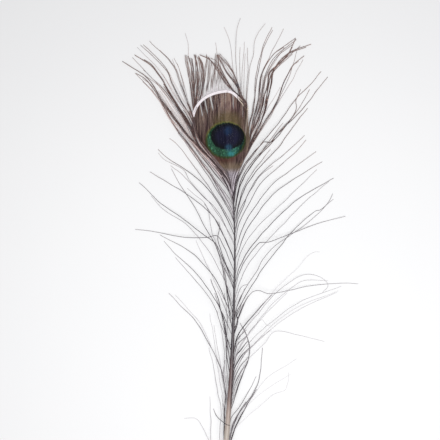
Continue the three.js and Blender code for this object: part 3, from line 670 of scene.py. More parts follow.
def loose_looks(rng, weight, bush=1.0):
    """How the barbules of a loose barb stand: short, close to the barb, thinning to its tip.

    Their tone is left for the caller to set.
    """
    full = (0.06 + 1.25 * weight ** 1.6) * bush
    phase = rng.uniform(0, 2 * math.pi, 2)

    def reach(share, places, side):
        clumps = 1 + 0.3 * np.sin(places / 1.9 + phase[0]) + 0.25 * np.sin(places / 4.7 + phase[1])
        return full * clumps * (1 - 0.35 * share ** 2) * np.clip(places / 14, 0.3, 1)

    return {
        "spacing": 0.34 / (0.4 + 0.8 * weight), "bare": 1.0, "angle": 17, "angle_spread": 5, "reach": reach,
        "tilt": 0.03, "tilt_spread": 0.12, "needle_width": 0.1 + 0.06 * weight, "needle_depth": 0.05,
        "past_arc": lambda places: np.full(len(places), FAR_BELOW_ARC),
    }


def add_loose_barb(strands, band, rng, side, barb, bush, pale):
    """One loose barb of the vane: a tapered stem with its fringe."""
    root, weight, points = barb
    line, along = barb_line(rng, side, root, points)
    share = along / along[-1]
    if root > OVER_WEB_FROM:
        line[:, 2] += OVER_WEB_RISE[side] * np.sin(math.pi * share ** 0.8)
        line[:, 2] = np.maximum(line[:, 2], REST_HEIGHT)
    if side * (points[-1][0] - shaft_at(points[-1][1])[0]) < 0:
        over_the_shaft(line)
    radii = (0.045 + 0.3 * weight) * (1 - 0.5 * share ** 1.5) * np.clip(0.6 + along / 30, 0.6, 1)
    # A barb marked pale is a painted highlight and takes the pinkish white highlight tone.
    tone = HIGHLIGHT_BARB_TONE if pale else np.clip(1 - weight + rng.normal(0, 0.07), 0, 1)
    looks = loose_looks(rng, weight, bush)
    looks["tone"] = tone
    strands.stem(band, line, radii, along=share, tone=tone, past_arc=FAR_BELOW_ARC, fringe=0.0)
    add_fringe(strands, band, rng, line, along, looks)


def between(first, second, share, stop):
    """A barb that runs between two others and stops at a share of their length."""
    lines = [centre_line(root, points, PATH_STEP) for root, _, points in (first, second)]
    mixed = resample(lines[0], CHILD_SAMPLES) * (1 - share) + resample(lines[1], CHILD_SAMPLES) * share
    kept = max(4, int(CHILD_SAMPLES * stop))
    picked = mixed[np.linspace(1, kept - 1, CHILD_POINTS).astype(int)]
    root = first[0] * (1 - share) + second[0] * share
    return root, [tuple(point) for point in picked]


def fill_between(rng, barbs, gap, stops, weights):
    """More barbs wherever two neighbours leave the shaft further apart than `gap` mm."""
    extra = []
    ordered = sorted(barbs, key=lambda barb: -barb[0])
    for upper, lower in zip(ordered[:-1], ordered[1:]):
        number = int(round((upper[0] - lower[0]) / gap)) - 1
        for k in range(number):
            share = (k + 1) / (number + 1)
            root, points = between(upper, lower, share, rng.uniform(*stops))
            extra.append((root, rng.uniform(*weights), points))
    return extra


def twins(rng, side, barbs):
    """A second strand beside each heavy barb near the eye, drifting away from it towards the tip."""
    extra = []
    for root, weight, points in barbs:
        if root <= TWINS_FROM[side] or weight < TWINS_WEIGHT[side]:
            continue
        drift = rng.normal(0, TWIN_DRIFT, 2)
        stop = rng.uniform(0.3, 1.0)
        moved = []
        for k, (x, y) in enumerate(points):
            part = ((k + 1) / len(points)) ** 2
            moved.append((x + drift[0] * part, y + drift[1] * part))
        moved[-1] = tuple(np.array(moved[-2]) * (1 - stop) + np.array(moved[-1]) * stop)
        extra.append((root - rng.uniform(0.3, 0.8), weight, moved))
    return extra


# ---- materials -----------------------------------------------------------------------------------

def srgb(red, green, blue):
    """A colour given as it looks on screen, 0 to 255, as Blender's linear numbers."""
    channels = []
    for value in (red, green, blue):
        value /= 255
        channels.append(value / 12.92 if value <= 0.04045 else ((value + 0.055) / 1.055) ** 2.4)
    return (*channels, 1.0)


class Graph:
    """A short way to write a node tree."""

    def __init__(self, name):
        self.material = bpy.data.materials.new(name)
        self.material.use_nodes = True
        self.tree = self.material.node_tree
        self.shader = self.tree.nodes["Principled BSDF"]

    def link(self, source, target):
        self.tree.links.new(source, target)

    def put(self, socket, value):
        if isinstance(value, bpy.types.NodeSocket):
            self.link(value, socket)
        else:
            socket.default_value = value

    def math(self, operation, a, b=0.0, clamp=False):
        node = self.tree.nodes.new("ShaderNodeMath")
        node.operation = operation
        node.use_clamp = clamp
        self.put(node.inputs[0], a)
        self.put(node.inputs[1], b)
        return node.outputs[0]

    def times(self, a, b, clamp=False):
        return self.math("MULTIPLY", a, b, clamp)

    def plus(self, a, b):
        return self.math("ADD", a, b)

    def ramp01(self, value, low, high):
        """0 below `low`, 1 above `high`, smooth between."""
        node = self.tree.nodes.new("ShaderNodeMapRange")
        node.interpolation_type = "SMOOTHSTEP"
        self.put(node.inputs["Value"], value)
        node.inputs["From Min"].default_value = low
        node.inputs["From Max"].default_value = high
        return node.outputs["Result"]

    def fade(self, value, low, high):
        """1 below `low`, 0 above `high`, smooth between."""
        return self.math("SUBTRACT", 1.0, self.ramp01(value, low, high))

    def mix(self, factor, a, b):
        """Colour `a` where the factor is 0 and `b` where it is 1."""
        node = self.tree.nodes.new("ShaderNodeMix")
        node.data_type = "RGBA"
        self.put(node.inputs[0], factor)
        self.put(node.inputs[6], a)
        self.put(node.inputs[7], b)
        return node.outputs[2]

    def cover(self, colour, factor, strength, paint):
        """A colour with a paint of the given strength over it, where the factor is 1."""
        return self.mix(self.times(factor, strength), colour, paint)

    def shaded(self, colour, factor, least, gain):
        """A colour times `least` where the factor is 0, and times `least` + `gain` where it is 1."""
        node = self.tree.nodes.new("ShaderNodeVectorMath")
        node.operation = "SCALE"
        self.put(node.inputs[0], colour)
        self.put(node.inputs["Scale"], self.plus(self.times(factor, gain), least))
        return node.outputs[0]

    def attribute(self, name):
        node = self.tree.nodes.new("ShaderNodeAttribute")
        node.attribute_name = name
        return node.outputs["Fac"]

    def place(self):
        """The point on the feather in mm, and its x and y."""
        coordinates = self.tree.nodes.new("ShaderNodeTexCoord")
        scale = self.tree.nodes.new("ShaderNodeVectorMath")
        scale.operation = "SCALE"
        scale.inputs["Scale"].default_value = 1 / MM
        self.link(coordinates.outputs["Object"], scale.inputs[0])
        split = self.tree.nodes.new("ShaderNodeSeparateXYZ")
        self.link(scale.outputs[0], split.inputs[0])
        return scale.outputs[0], split.outputs[0], split.outputs[1]

    def stretched(self, vector, x, y, z):
        node = self.tree.nodes.new("ShaderNodeVectorMath")
        node.operation = "MULTIPLY"
        self.link(vector, node.inputs[0])
        node.inputs[1].default_value = (x, y, z)
        return node.outputs[0]

    def noise(self, vector, scale, detail=3.0):
        node = self.tree.nodes.new("ShaderNodeTexNoise")
        self.link(vector, node.inputs["Vector"])
        node.inputs["Scale"].default_value = scale
        node.inputs["Detail"].default_value = detail
        node.inputs["Roughness"].default_value = NOISE_ROUGHNESS
        return node.outputs["Fac"]

    def signed_noise(self, vector, scale, size):
        """Noise from about -size to +size."""
        centred = self.math("SUBTRACT", self.noise(vector, scale, 2.0), 0.5)
        return self.times(centred, 2 * size)

    def oval(self, x, y, centre, half):
        """0 at the oval's centre and 1 on its edge."""
        across = self.math("DIVIDE", self.math("SUBTRACT", x, centre[0]), half[0])
        upward = self.math("DIVIDE", self.math("SUBTRACT", y, centre[1]), half[1])
        squares = self.plus(self.math("POWER", self.math("ABSOLUTE", across), 2.0),
                            self.math("POWER", self.math("ABSOLUTE", upward), 2.0))
        return self.math("SQRT", squares)

    def bump(self, height, strength, distance_mm):
        node = self.tree.nodes.new("ShaderNodeBump")
        node.inputs["Strength"].default_value = strength
        node.inputs["Distance"].default_value = distance_mm * MM
        self.link(height, node.inputs["Height"])
        self.link(node.outputs["Normal"], self.shader.inputs["Normal"])


# A ramp over x or y, here and below, runs between two places on the feather, in mm.

def loose_barb_colour(graph, vector, y):
    """Purplish grey, warmer brown beside and over the eye, paler to the tip and on weak barbs, with painted
    pinkish highlights high on the feather.
    """
    tone = graph.attribute("tone")
    along = graph.attribute("along")
    upper = graph.times(graph.ramp01(y, 50, 85), graph.ramp01(graph.noise(vector, 0.12), 0.25, 0.5))
    dark = graph.mix(upper, srgb(56, 48, 54), srgb(75, 56, 55))
    light = graph.mix(upper, srgb(212, 203, 209), srgb(236, 210, 204))
    # Weak barbs take the light colour; the highlight barbs, with the highest tone, take it in full as a
    # painted highlight.
    by_tone = graph.mix(graph.times(graph.times(tone, tone), 0.9, clamp=True), dark, light)
    # Barbules high on the feather turn pinkish, partly their own bronze colour and partly a painted
    # highlight.
    paler = graph.plus(graph.times(tone, 0.9, clamp=True), 0.18)
    barbules = graph.times(graph.attribute("fringe"), graph.times(upper, paler))
    by_tone = graph.mix(barbules, by_tone, srgb(208, 182, 178))
    # Painted highlights: pinkish glints in patches over the barbs high on the feather.
    painted_glints = graph.times(graph.ramp01(graph.noise(vector, 0.6), 0.54, 0.7), upper)
    with_painted_glints = graph.cover(by_tone, painted_glints, 0.5, srgb(206, 172, 160))
    fading = graph.plus(graph.times(graph.fade(y, 10, 60), 0.25), 0.5)
    tips = graph.mix(upper, srgb(164, 156, 160), srgb(178, 150, 141))
    return graph.mix(graph.times(graph.ramp01(along, 0.5, 1.1), fading), with_painted_glints, tips)


def fibre_finish(graph, vector, rough_low, rough_high, sheen, sheen_colour, gloss):
    """The part that all barbs share: uneven gloss, a fine grain and a soft sheen."""
    grain = graph.noise(vector, 2.2)
    rough = graph.plus(graph.times(grain, rough_high - rough_low), rough_low)
    graph.link(rough, graph.shader.inputs["Roughness"])
    graph.bump(graph.noise(vector, 6.0), 0.3, 0.05)
    graph.shader.inputs["Sheen Weight"].default_value = sheen
    graph.shader.inputs["Sheen Roughness"].default_value = 0.5
    graph.shader.inputs["Sheen Tint"].default_value = sheen_colour
    graph.shader.inputs["Specular IOR Level"].default_value = gloss


def vane_material():
    """The loose barbs of the vane."""
    graph = Graph("loose_barbs")
    vector, _, y = graph.place()
    graph.link(loose_barb_colour(graph, vector, y), graph.shader.inputs["Base Color"])
    fibre_finish(graph, vector, 0.45, 0.75, 0.05, srgb(220, 200, 200), 0.2)
    return graph.material


def down_material():
    """Pale grey down with brownish roots."""
    graph = Graph("base_down")
    vector, _, _ = graph.place()
    patches = graph.ramp01(graph.noise(vector, 0.3), 0.3, 0.7)
    pale = graph.mix(patches, srgb(168, 160, 160), srgb(196, 190, 188))
    colour = graph.mix(graph.fade(graph.attribute("along"), 0.0, 0.35), pale, srgb(120, 108, 106))
    graph.link(colour, graph.shader.inputs["Base Color"])
    fibre_finish(graph, vector, 0.6, 0.9, 0.3, srgb(240, 236, 232), 0.3)
    return graph.material


def web_colour(graph, vector, x, y):
    """The bronze web round the eye: purple-brown, olive over the disc, maroon round its lower part."""
    streaks = graph.noise(graph.stretched(vector, 1.0, 0.06, 0.3), 1.1)
    broad = graph.noise(graph.stretched(vector, 1.0, 0.2, 0.3), 0.22, 2.0)
    brown = graph.mix(graph.ramp01(broad, 0.35, 0.65), srgb(83, 59, 62), srgb(102, 82, 79))
    brown = graph.mix(graph.ramp01(streaks, 0.45, 0.68), brown, srgb(150, 128, 116))
    brown = graph.mix(graph.fade(streaks, 0.34, 0.46), brown, srgb(54, 38, 40))
    brown = graph.shaded(brown, graph.ramp01(x, -26, -4), 0.8, 0.28)
    high = graph.times(graph.ramp01(x, -26, -12), graph.ramp01(y, 96, 108))
    brown = graph.shaded(brown, high, 1.0, 0.22)
    over_disc = graph.fade(graph.oval(x, y, *OLIVE_OVAL), 0.4, 1.1)
    colour = graph.cover(brown, over_disc, 0.6, srgb(116, 102, 66))
    around = graph.times(graph.fade(graph.oval(x, y, *MAROON_OVAL), 0.72, 1.02), graph.fade(y, 78, 98))
    colour = graph.cover(colour, around, 0.8, srgb(94, 62, 52))
    colour = graph.cover(colour, graph.fade(y, 69, 73.5), 0.75, srgb(136, 118, 98))
    right_edge = graph.times(graph.ramp01(x, 2.6, 4.0), graph.ramp01(y, 76, 84))
    colour = graph.cover(colour, right_edge, 0.5, srgb(150, 132, 108))
    line_x = graph.plus(graph.times(y, PALE_LINE_LEAN), PALE_LINE_X - PALE_LINE_Y * PALE_LINE_LEAN)
    beside = graph.math("ABSOLUTE", graph.math("SUBTRACT", x, line_x))
    pale_line = graph.times(graph.fade(beside, 0.25, 0.7), graph.ramp01(y, 84, 92))
    colour = graph.cover(colour, pale_line, 0.8, srgb(200, 184, 172))
    hairs = graph.mix(graph.attribute("tone"), srgb(116, 104, 114), srgb(226, 218, 227))
    return graph.cover(colour, graph.fade(y, 64, 69), 0.9, hairs)


def eye_colour(graph, vector, x, y, web):
    """The green ring, the dark blue pupil and the turquoise notch, laid over the web, with painted bright
    green highlights on the ring.
    """
    x = graph.plus(x, graph.signed_noise(vector, 0.7, 0.5))
    y = graph.plus(y, graph.signed_noise(graph.stretched(vector, 1.4, 0.35, 1), 1.1, 1.1))
    ring = graph.oval(x, y, *DISC_OVAL)
    pupil = graph.oval(x, y, *PUPIL_OVAL)
    rim = graph.mix(graph.ramp01(y, 84, 95), srgb(62, 74, 42), srgb(112, 108, 62))
    colour = graph.mix(graph.fade(ring, 1.01, 1.1), web, rim)
    green = graph.mix(graph.ramp01(x, -14, -4), srgb(54, 94, 72), srgb(52, 106, 96))
    green = graph.mix(graph.ramp01(x, -3.5, 0.5), green, srgb(16, 44, 44))
    green = graph.mix(graph.ramp01(y, 86, 92), green, srgb(22, 58, 36))
    # Painted highlights: bright green glints scattered over the ring.
    painted_green_glints = graph.ramp01(graph.noise(graph.stretched(vector, 1.0, 0.45, 1.0), 1.5, 2.0), 0.54, 0.66)
    green = graph.cover(green, painted_green_glints, 0.65, srgb(104, 178, 134))
    depths = graph.fade(graph.noise(vector, 0.9, 2.0), 0.36, 0.5)
    green = graph.cover(green, depths, 0.6, srgb(8, 56, 40))
    colour = graph.mix(graph.fade(ring, 0.92, 0.99), colour, green)
    turquoise = graph.fade(graph.oval(x, y, *TURQUOISE_OVAL), 0.2, 1.1)
    colour = graph.cover(colour, turquoise, 0.85, srgb(60, 140, 142))
    core = graph.mix(graph.ramp01(pupil, 0.55, 0.95), srgb(31, 31, 54), srgb(20, 23, 28))
    glow = graph.fade(graph.oval(x, y, *GLOW_OVAL), 0.2, 1.1)
    core = graph.cover(core, glow, 0.8, srgb(34, 56, 88))
    colour = graph.mix(graph.fade(pupil, 0.97, 1.05), colour, core)
    notch = graph.fade(graph.oval(x, y, *NOTCH_OVAL), 0.3, 1.1)
    return graph.cover(colour, notch, 0.75, srgb(46, 82, 106))


def eye_material():
    """Bronze web, eye, white arc, and the crest beyond it."""
    graph = Graph("eye_web")
    vector, x, y = graph.place()
    colour = eye_colour(graph, vector, x, y, web_colour(graph, vector, x, y))
    tone = graph.times(graph.attribute("tone"), 1.0, clamp=True)
    colour = graph.shaded(colour, tone, 0.6, 0.4)
    past = graph.plus(graph.attribute("past_arc"), graph.signed_noise(vector, 0.8, 0.15))
    crest = loose_barb_colour(graph, vector, y)
    white = graph.mix(graph.ramp01(x, -3.0, 1.0), srgb(240, 234, 237), srgb(200, 186, 170))
    arc = graph.mix(graph.ramp01(past, -0.4, 0.1), colour, white)
    colour = graph.mix(graph.ramp01(past, WHITE_ARC, WHITE_ARC + ARC_FADES_OVER), arc, crest)
    graph.link(colour, graph.shader.inputs["Base Color"])
    fibre_finish(graph, vector, 0.32, 0.6, 0.02, srgb(170, 190, 185), 0.07)
    return graph.material


def shaft_material():
    """Dark where the shaft is thin, purple-brown, then pale horn towards the cut end."""
    graph = Graph("shaft_keratin")
    vector, _, y = graph.place()
    wander = graph.plus(y, graph.signed_noise(graph.stretched(vector, 1, 0.15, 1), 0.5, 9))
    pale = graph.mix(graph.ramp01(wander, -112, -78), srgb(170, 162, 151), srgb(156, 136, 128))
    brown = graph.mix(graph.ramp01(wander, -90, -70), pale, srgb(84, 62, 62))
    colour = graph.mix(graph.ramp01(wander, -64, -46), brown, srgb(44, 38, 46))
    rightward = graph.ramp01(graph.attribute("tone"), 0.0, 0.55)
    right_side = graph.times(rightward, graph.ramp01(wander, -98, -76))
    colour = graph.cover(colour, right_side, 0.85, srgb(50, 38, 42))
    colour = graph.mix(graph.ramp01(y, 52, 62), colour, srgb(112, 98, 92))
    flecks = graph.noise(graph.stretched(vector, 1.0, 0.08, 1.0), 3.0, 5.0)
    colour = graph.cover(colour, graph.ramp01(flecks, 0.5, 0.7), 0.35, srgb(120, 98, 92))
    at_cut = graph.fade(y, CUT_FACE_BELOW, CUT_FACE_BELOW + 0.4)
    colour = graph.mix(at_cut, colour, srgb(238, 232, 220))
    graph.link(colour, graph.shader.inputs["Base Color"])
    rough = graph.plus(graph.times(flecks, 0.3), 0.25)
    graph.link(rough, graph.shader.inputs["Roughness"])
    ridges = graph.noise(graph.stretched(vector, 1.0, 0.03, 1.0), 6.0, 4.0)
    graph.bump(ridges, 0.35, 0.12)
    graph.shader.inputs["Coat Weight"].default_value = 0.25
    graph.shader.inputs["Coat Roughness"].default_value = 0.3
    return graph.material


def floor_material():
    """The plain light ground."""
    graph = Graph("floor")
    vector, _, _ = graph.place()
    cloud = graph.noise(vector, 0.01)
    graph.link(graph.mix(cloud, srgb(198, 198, 199), srgb(201, 201, 201)), graph.shader.inputs["Base Color"])
    graph.shader.inputs["Emission Color"].default_value = (1, 1, 1, 1)
    graph.shader.inputs["Emission Strength"].default_value = FLOOR_GLOW
    graph.shader.inputs["Roughness"].default_value = 0.9
    graph.shader.inputs["Specular IOR Level"].default_value = 0.2
    return graph.material


# ---- pieces --------------------------------------------------------------------------------------

def register(piece, node):
    """Puts a piece in place of its CAD node."""
    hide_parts(node)
    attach(piece, "root")


def make_shaft():
    """The shaft: an oval horn rod, grooved underneath, with a slanted cut end."""
    path = resample(shaft_path, SHAFT_RINGS)
    path = path[path[:, 1].argsort()]
    half_width = shaft_at(path[:, 1])[2] / 2
    turn = np.arange(SHAFT_SIDES) * 2 * math.pi / SHAFT_SIDES
    from_groove = np.angle(np.exp(1j * (turn + math.pi / 2)))
    shape = 1 - GROOVE_DEPTH * np.exp(-(from_groove / GROOVE_ANGLE) ** 2)
    points = np.empty((len(path), SHAFT_SIDES, 3))
    for k in range(SHAFT_SIDES):
        points[:, k, 0] = path[:, 0] + half_width * shape[k] * math.cos(turn[k])
        points[:, k, 1] = path[:, 1]
        points[:, k, 2] = path[:, 2] + half_width * SHAFT_DEPTH_RATIO * shape[k] * math.sin(turn[k])
    over_centre = points[0, :, 2] - path[0, 2]
    points[0, :, 1] += np.maximum(over_centre * CUT_SLANT, 0)
    walls, wall_uvs = wall_faces(len(path), SHAFT_SIDES, 0.0, 0.9)
    walls, wall_uvs = walls[:, [0, 2, 1]], wall_uvs[:, [0, 2, 1]]
    last = (len(path) - 1) * SHAFT_SIDES
    fan = np.arange(1, SHAFT_SIDES - 1)
    cut = np.stack([np.zeros_like(fan), fan, fan + 1], 1)
    tip = np.stack([np.full_like(fan, last), last + fan + 1, last + fan], 1)
    disc = np.stack([0.05 + 0.04 * np.cos(turn), 0.95 + 0.04 * np.sin(turn)], 1)
    faces = np.concatenate([walls, cut, tip])
    uvs = np.concatenate([wall_uvs, disc[cut], disc[tip - last] + (0.2, 0)])
    strands = Strands(1)
    strands.add(points.reshape(-1, 3), faces, uvs, smooth=np.arange(len(faces)) < len(walls), along=0.0,
                tone=np.tile(np.cos(turn), len(path)), past_arc=0.0, fringe=0.0)
    register(strands.build("shaft_horn", shaft_material()), "shaft")


def make_tract(node, side, barbs, material, seed, bush=1.0, highlight_barbs=()):
    """One tract of loose barbs."""
    rng = np.random.default_rng(seed)
    # The highlight barbs come last: pale strands that are painted highlights.
    everything = [*barbs, *highlight_barbs]
    strands = Strands(len(everything))
    for band, barb in enumerate(everything):
        add_loose_barb(strands, band, rng, side, barb, bush, pale=band >= len(barbs))
    register(strands.build(node + "_mesh", material), node)


def down_reach(share, places, side):
    """How long the barbules of a downy barb are, in mm."""
    return 2.2 * (1 - 0.5 * share) * np.clip(places / 4, 0.3, 1)


def make_down(node, side, barbs, material, seed):
    """Short downy barbs with long soft barbules."""
    rng = np.random.default_rng(seed)
    everything = barbs + fill_between(rng, barbs, gap=1.6, stops=(0.5, 0.9), weights=(0.2, 0.35))
    strands = Strands(len(everything))
    for band, (root, weight, points) in enumerate(everything):
        line, along = barb_line(rng, side, root, points, lift=1.5, waver=0.5)
        share = along / along[-1]
        looks = loose_looks(rng, weight)
        tone = rng.uniform(0, 1)
        looks.update({"tone": tone, "spacing": 0.3, "angle": 38, "reach": down_reach, "needle_width": 0.05})
        radii = 0.09 * (1 - 0.6 * share)
        strands.stem(band, line, radii, along=share, tone=tone, past_arc=FAR_BELOW_ARC, fringe=0.0)
        add_fringe(strands, band, rng, line, along, looks)
    register(strands.build(node + "_mesh", material), node)


def web_barb(guides, place):
    """The root and points of a web barb at a place from the first guide, 0, to the last, 1."""
    spots = np.linspace(0, 1, len(guides))
    shares = np.ones(len(guides))
    for i, spot in enumerate(spots):
        for k, other in enumerate(spots):
            if k != i:
                shares[i] *= (place - other) / (spot - other)
    root = float(np.dot(shares, [guide[0] for guide in guides]))
    lines = np.array([guide[1] for guide in guides], dtype=float)
    return root, [tuple(point) for point in np.tensordot(shares, lines, 1)]


def arc_curve():
    """The white arc's lower edge from left to right: x, y, and how square to y it runs."""
    shares = np.linspace(0, 1, ARC_SAMPLES)
    left = [web_barb(WEB_LEFT, share)[1][-1] for share in shares]
    right = [web_barb(WEB_RIGHT, share)[1][-1] for share in shares]
    curve = np.array(left + right)
    curve = curve[curve[:, 0].argsort()]
    slopes = np.gradient(curve[:, 1], curve[:, 0])
    return curve[:, 0], curve[:, 1], 1 / np.sqrt(1 + slopes ** 2)


arc_x, arc_y, arc_squareness = arc_curve()


def past_the_arc(points):
    """How many mm each point lies past the white arc's lower edge, square to it."""
    x = points[:, 0]
    return (points[:, 1] - np.interp(x, arc_x, arc_y)) * np.interp(x, arc_x, arc_squareness)


def make_eye(node, side, guides, number, crest, slits, seed):
    """The closed web up to the white arc, and the loose crest that grows on from it."""
    rng = np.random.default_rng(seed)
    crest = crest + crest_twins(rng, crest)
    strands = Strands(number + len(crest) + EDGE_STRANDS)
    arc_points = add_web(strands, rng, side, guides, number, slits)
    add_crest(strands, rng, side, guides, crest, number)
    add_arc_edge(strands, number + len(crest), arc_points)
    register(strands.build(node + "_mesh", eye_material()), node)


def add_web(strands, rng, side, guides, number, slits):
    """The web's own barbs, each with a white end past the arc. Returns where they reach the arc."""
    arc_points = []
    for band in range(number):
        root, points = web_barb(guides, band / (number - 1))
        last, before = np.array(points[-1]), np.array(points[-2])
        heading = (last - before) / np.linalg.norm(last - before)
        stub = rng.uniform(*(LONG_STUBS if band % LONG_STUB_EVERY == 0 else SHORT_STUBS))
        end = last + heading * stub + rng.normal(0, STUB_SCATTER, 2)
        points = points + [tuple(last + heading * stub * 0.5), tuple(end)]
        line, along = barb_line(rng, side, root, points, reach=EYE_REACH, lift=0.15, waver=0.06)
        line[:, 2] += WEB_RISE
        arc_at = along[-1] - stub
        arc_points.append([*last, np.interp(arc_at, along, line[:, 2])])
        add_web_barb(strands, band, rng, line, along, arc_at, rng.uniform(0, 1), slits_of(slits, band))
    return arc_points


def add_crest(strands, rng, side, guides, crest, first_band):
    """The strands of the crest, which lie bare on the web and run on past the arc."""
    for band, (place, weight, white, run) in enumerate(crest, first_band):
        root, points = web_barb(guides, place)
        line, along = barb_line(rng, side, root, points + run, reach=EYE_REACH, lift=0.6, waver=0.12)
        arc_at = arc_length(centre_line(root, points, LINE_STEP))[-1]
        line[:, 2] += CREST_RISE if white else CREST_RISE + dark_rise(side, along, arc_at)
        add_crest_strand(strands, band, rng, line, along, arc_at, weight, white)


def dark_rise(side, along, arc_at):
    """How much higher a dark strand of the crest lies than a white one, in mm.

    A left one climbs just past the arc, and a right one on its whole way up to it.
    """
    if side == LEFT:
        return np.clip((along - arc_at) / CLIMB, 0, 1) * OVER_STUBS
    return np.clip(along / arc_at, 0, 1) * CROSSING_RISE


def add_arc_edge(strands, first_band, points):
    """Fine white strands along the web's upper edge, from its left end to its right one."""
    middle = smooth_line(points[::EDGE_EVERY] + points[-1:], EDGE_STEP)
    tangent = np.gradient(middle, axis=0)
    outward = np.column_stack([-tangent[:, 1], tangent[:, 0]])
    outward /= np.linalg.norm(outward, axis=1)[:, None]
    share = np.linspace(0, 1, len(middle))
    radii = np.full(len(middle), EDGE_RADIUS)
    for k in range(EDGE_STRANDS):
        line = middle + (0, 0, EDGE_RISE)
        line[:, :2] += outward * (k - EDGE_START) * EDGE_SPACING
        strands.stem(first_band + k, line, radii, along=share, tone=1.0, past_arc=WHITE_ARC / 2, fringe=0.0)


def crest_twins(rng, crest):
    """A second strand beside each heavy one of the crest."""
    extra = []
    for place, weight, white, run in crest:
        if weight > CREST_TWINS_WEIGHT:
            run = [tuple(np.array(point) + rng.normal(0, CREST_TWIN_SCATTER, 2)) for point in run]
            extra.append((min(place + rng.uniform(0, 0.012), 1), weight * 0.7, white, run))
    return extra


def slits_of(slits, band):
    """The share of their reach that a web barb's barbules keep on each side, less beside a slit.

    Slit k is the gap between web barbs k and k + 1, counted from the first guide.
    """
    left, right = 1.0, 1.0
    for slit in slits:
        if band > slit:
            left = min(left, SLIT_REACH.get(band - slit, 1.0))
        else:
            right = min(right, SLIT_REACH.get(slit + 1 - band, 1.0))
    return {LEFT: left, RIGHT: right}


def place_past_arc(along, arc_at, white):
    """mm past the arc, stretched so that the barb turns dark after `white` mm, or dark all along for 0."""
    past = along - arc_at
    if white == 0:
        return np.where(past < 0, FAR_BELOW_ARC, FAR_PAST_ARC)
    return np.where(past > 0, past * WHITE_ARC / white, past)


def add_eye_stem(strands, band, line, along, arc_at, tone, weight, past):
    """The stem of a barb of the eye, of one thickness up to the arc and by its weight past it."""
    share = along / along[-1]
    radii = np.where(along < arc_at, 0.12, 0.07 + 0.16 * weight) * (1 - 0.5 * share ** 2)
    strands.stem(band, line, radii, along=share, tone=tone, past_arc=past, fringe=0.0)


def add_tip_fringe(strands, band, rng, line, along, cut, tone, weight, full, past):
    """The thin fringe of a barb of the eye, from one of its points to its tip."""
    if len(line) - cut <= 4:
        return
    start = along[cut]
    looks = loose_looks(rng, weight)
    looks.update({
        "tone": tone, "bare": 0.1, "reach": lambda share, places, side: full * (1 - 0.5 * share),
        "past_arc": lambda places: np.interp(places + start, along, past),
    })
    add_fringe(strands, band, rng, line[cut:], along[cut:] - start, looks)


def point_after(along, distance):
    """The number of the first point at a distance along a line, not one of the first four."""
    return min(max(int(np.searchsorted(along, distance)), 4), len(along) - 1)


def add_web_barb(strands, band, rng, line, along, arc_at, tone, kept):
    """A barb of the web: dense hooked barbules up to the arc's upper edge, and a thin fringe beyond.

    `kept` is the share of their reach that the barbules keep on each side.
    """
    past = past_the_arc(line)
    add_eye_stem(strands, band, line, along, arc_at, tone, WEB_WEIGHT, past)
    full = 0.4 + 0.9 * WEB_WEIGHT
    web_end = np.interp(WHITE_ARC, past, along)

    def reach(share, places, side):
        loose = full * (1 - 0.4 * share) * (places > web_end)
        web = 1.5 * np.clip(places / 6, 0.45, 1) * np.clip((web_end - 0.6 - places) / 0.4, 0, 1)
        upper = np.clip((places - arc_at + SLIT_LENGTH) / 4, 0, 1)
        return np.maximum(web * (1 - upper * (1 - kept[side])), loose)

    dense = {
        "spacing": 0.2, "bare": 0.5, "angle": 42, "angle_spread": 4, "tilt": 0.04, "tilt_spread": 0.05,
        "needle_width": 0.38, "needle_depth": 0.04, "tone": tone, "reach": reach, "past_at": past_the_arc,
        "past_arc": lambda places: np.interp(places, along, past),
    }
    cut = point_after(along, web_end)
    add_fringe(strands, band, rng, line[:cut + 1], along[:cut + 1], dense)
    add_tip_fringe(strands, band, rng, line, along, cut, tone, WEB_WEIGHT, full, past)


def add_crest_strand(strands, band, rng, line, along, arc_at, weight, white):
    """A strand of the crest: bare in the web, and past the arc white for `white` mm."""
    tone = max(1 - weight, 0.0)
    past = place_past_arc(along, arc_at, white)
    add_eye_stem(strands, band, line, along, arc_at, tone, weight, past)
    full = (0.4 + 0.9 * weight) * (WHITE_FRINGE if white else 1.0)
    add_tip_fringe(strands, band, rng, line, along, point_after(along, arc_at), tone, weight, full, past)


vane = vane_material()
down = down_material()

make_shaft()
make_eye("eye_barbs_left", LEFT, WEB_LEFT, WEB_BARBS_LEFT, CREST_LEFT, SLITS_LEFT, seed=11)
make_eye("eye_barbs_right", RIGHT, WEB_RIGHT, WEB_BARBS_RIGHT, CREST_RIGHT, SLITS_RIGHT, seed=12)

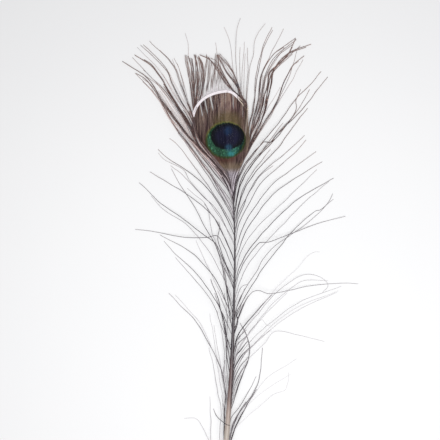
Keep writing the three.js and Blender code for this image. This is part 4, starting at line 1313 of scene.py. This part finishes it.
fill = np.random.default_rng(5)
upper_left = UPPER_LEFT + twins(fill, LEFT, UPPER_LEFT)
upper_right = UPPER_RIGHT + twins(fill, RIGHT, UPPER_RIGHT)
lower_left = LOWER_LEFT + fill_between(fill, MIDDLE_LEFT[-1:] + LOWER_LEFT, gap=6.5, stops=(0.25, 0.4),
                                       weights=(0.3, 0.5))
make_tract("upper_barbs_left", LEFT, upper_left, vane, seed=21, bush=FAN_BUSH[LEFT],
           highlight_barbs=HIGHLIGHT_BARBS_UPPER_LEFT)
make_tract("upper_barbs_right", RIGHT, upper_right, vane, seed=22, bush=FAN_BUSH[RIGHT],
           highlight_barbs=HIGHLIGHT_BARBS_UPPER_RIGHT)
make_tract("middle_barbs_left", LEFT, MIDDLE_LEFT, vane, seed=23)
make_tract("middle_barbs_right", RIGHT, MIDDLE_RIGHT, vane, seed=24)
make_tract("lower_barbs_left", LEFT, lower_left, vane, seed=25)
make_tract("lower_barbs_right", RIGHT, LOWER_RIGHT, vane, seed=26)
make_down("base_down_left", LEFT, BASE_LEFT, down, seed=27)
make_down("base_down_right", RIGHT, BASE_RIGHT, down, seed=28)


# ---- stage ---------------------------------------------------------------------------------------

def make_floor():
    """A large flat ground at the height that the feather lies on."""
    mesh = bpy.data.meshes.new("floor")
    half = FLOOR_SIZE / 2
    corners = [(-half, -half, 0), (half, -half, 0), (half, half, 0), (-half, half, 0)]
    mesh.from_pydata(corners, [], [(0, 1, 2, 3)])
    mesh.materials.append(floor_material())
    floor = bpy.data.objects.new("floor", mesh)
    bpy.context.collection.objects.link(floor)


def make_light(name, place, size, watts, aim):
    """A square lamp at a place, turned towards its aim, in metres."""
    lamp = bpy.data.lights.new(name, "AREA")
    lamp.energy = watts
    lamp.size = size
    light = bpy.data.objects.new(name, lamp)
    light.location = place
    direction = np.array(aim) - np.array(place)
    light.rotation_euler = Vector(direction).to_track_quat("-Z", "Y").to_euler()
    bpy.context.collection.objects.link(light)


def make_camera():
    """A camera that looks straight down on the feather's face."""
    data = bpy.data.cameras.new("camera")
    data.lens = CAMERA_LENS
    data.sensor_width = CAMERA_SENSOR
    camera = bpy.data.objects.new("camera", data)
    camera.location = (*CAMERA_XY, CAMERA_HEIGHT)
    bpy.context.collection.objects.link(camera)
    bpy.context.scene.camera = camera


def make_world():
    """Even light from all sides."""
    world = bpy.data.worlds.new("studio")
    world.use_nodes = True
    world.node_tree.nodes["Background"].inputs["Color"].default_value = SKY_COLOUR
    world.node_tree.nodes["Background"].inputs["Strength"].default_value = SKY_STRENGTH
    bpy.context.scene.world = world


make_floor()
make_light("overhead", place=(0.04, -0.08, 0.46), size=0.36, watts=2.3, aim=(0.04, -0.08, 0))
make_camera()
make_world()
bpy.context.scene.view_settings.view_transform = "Standard"
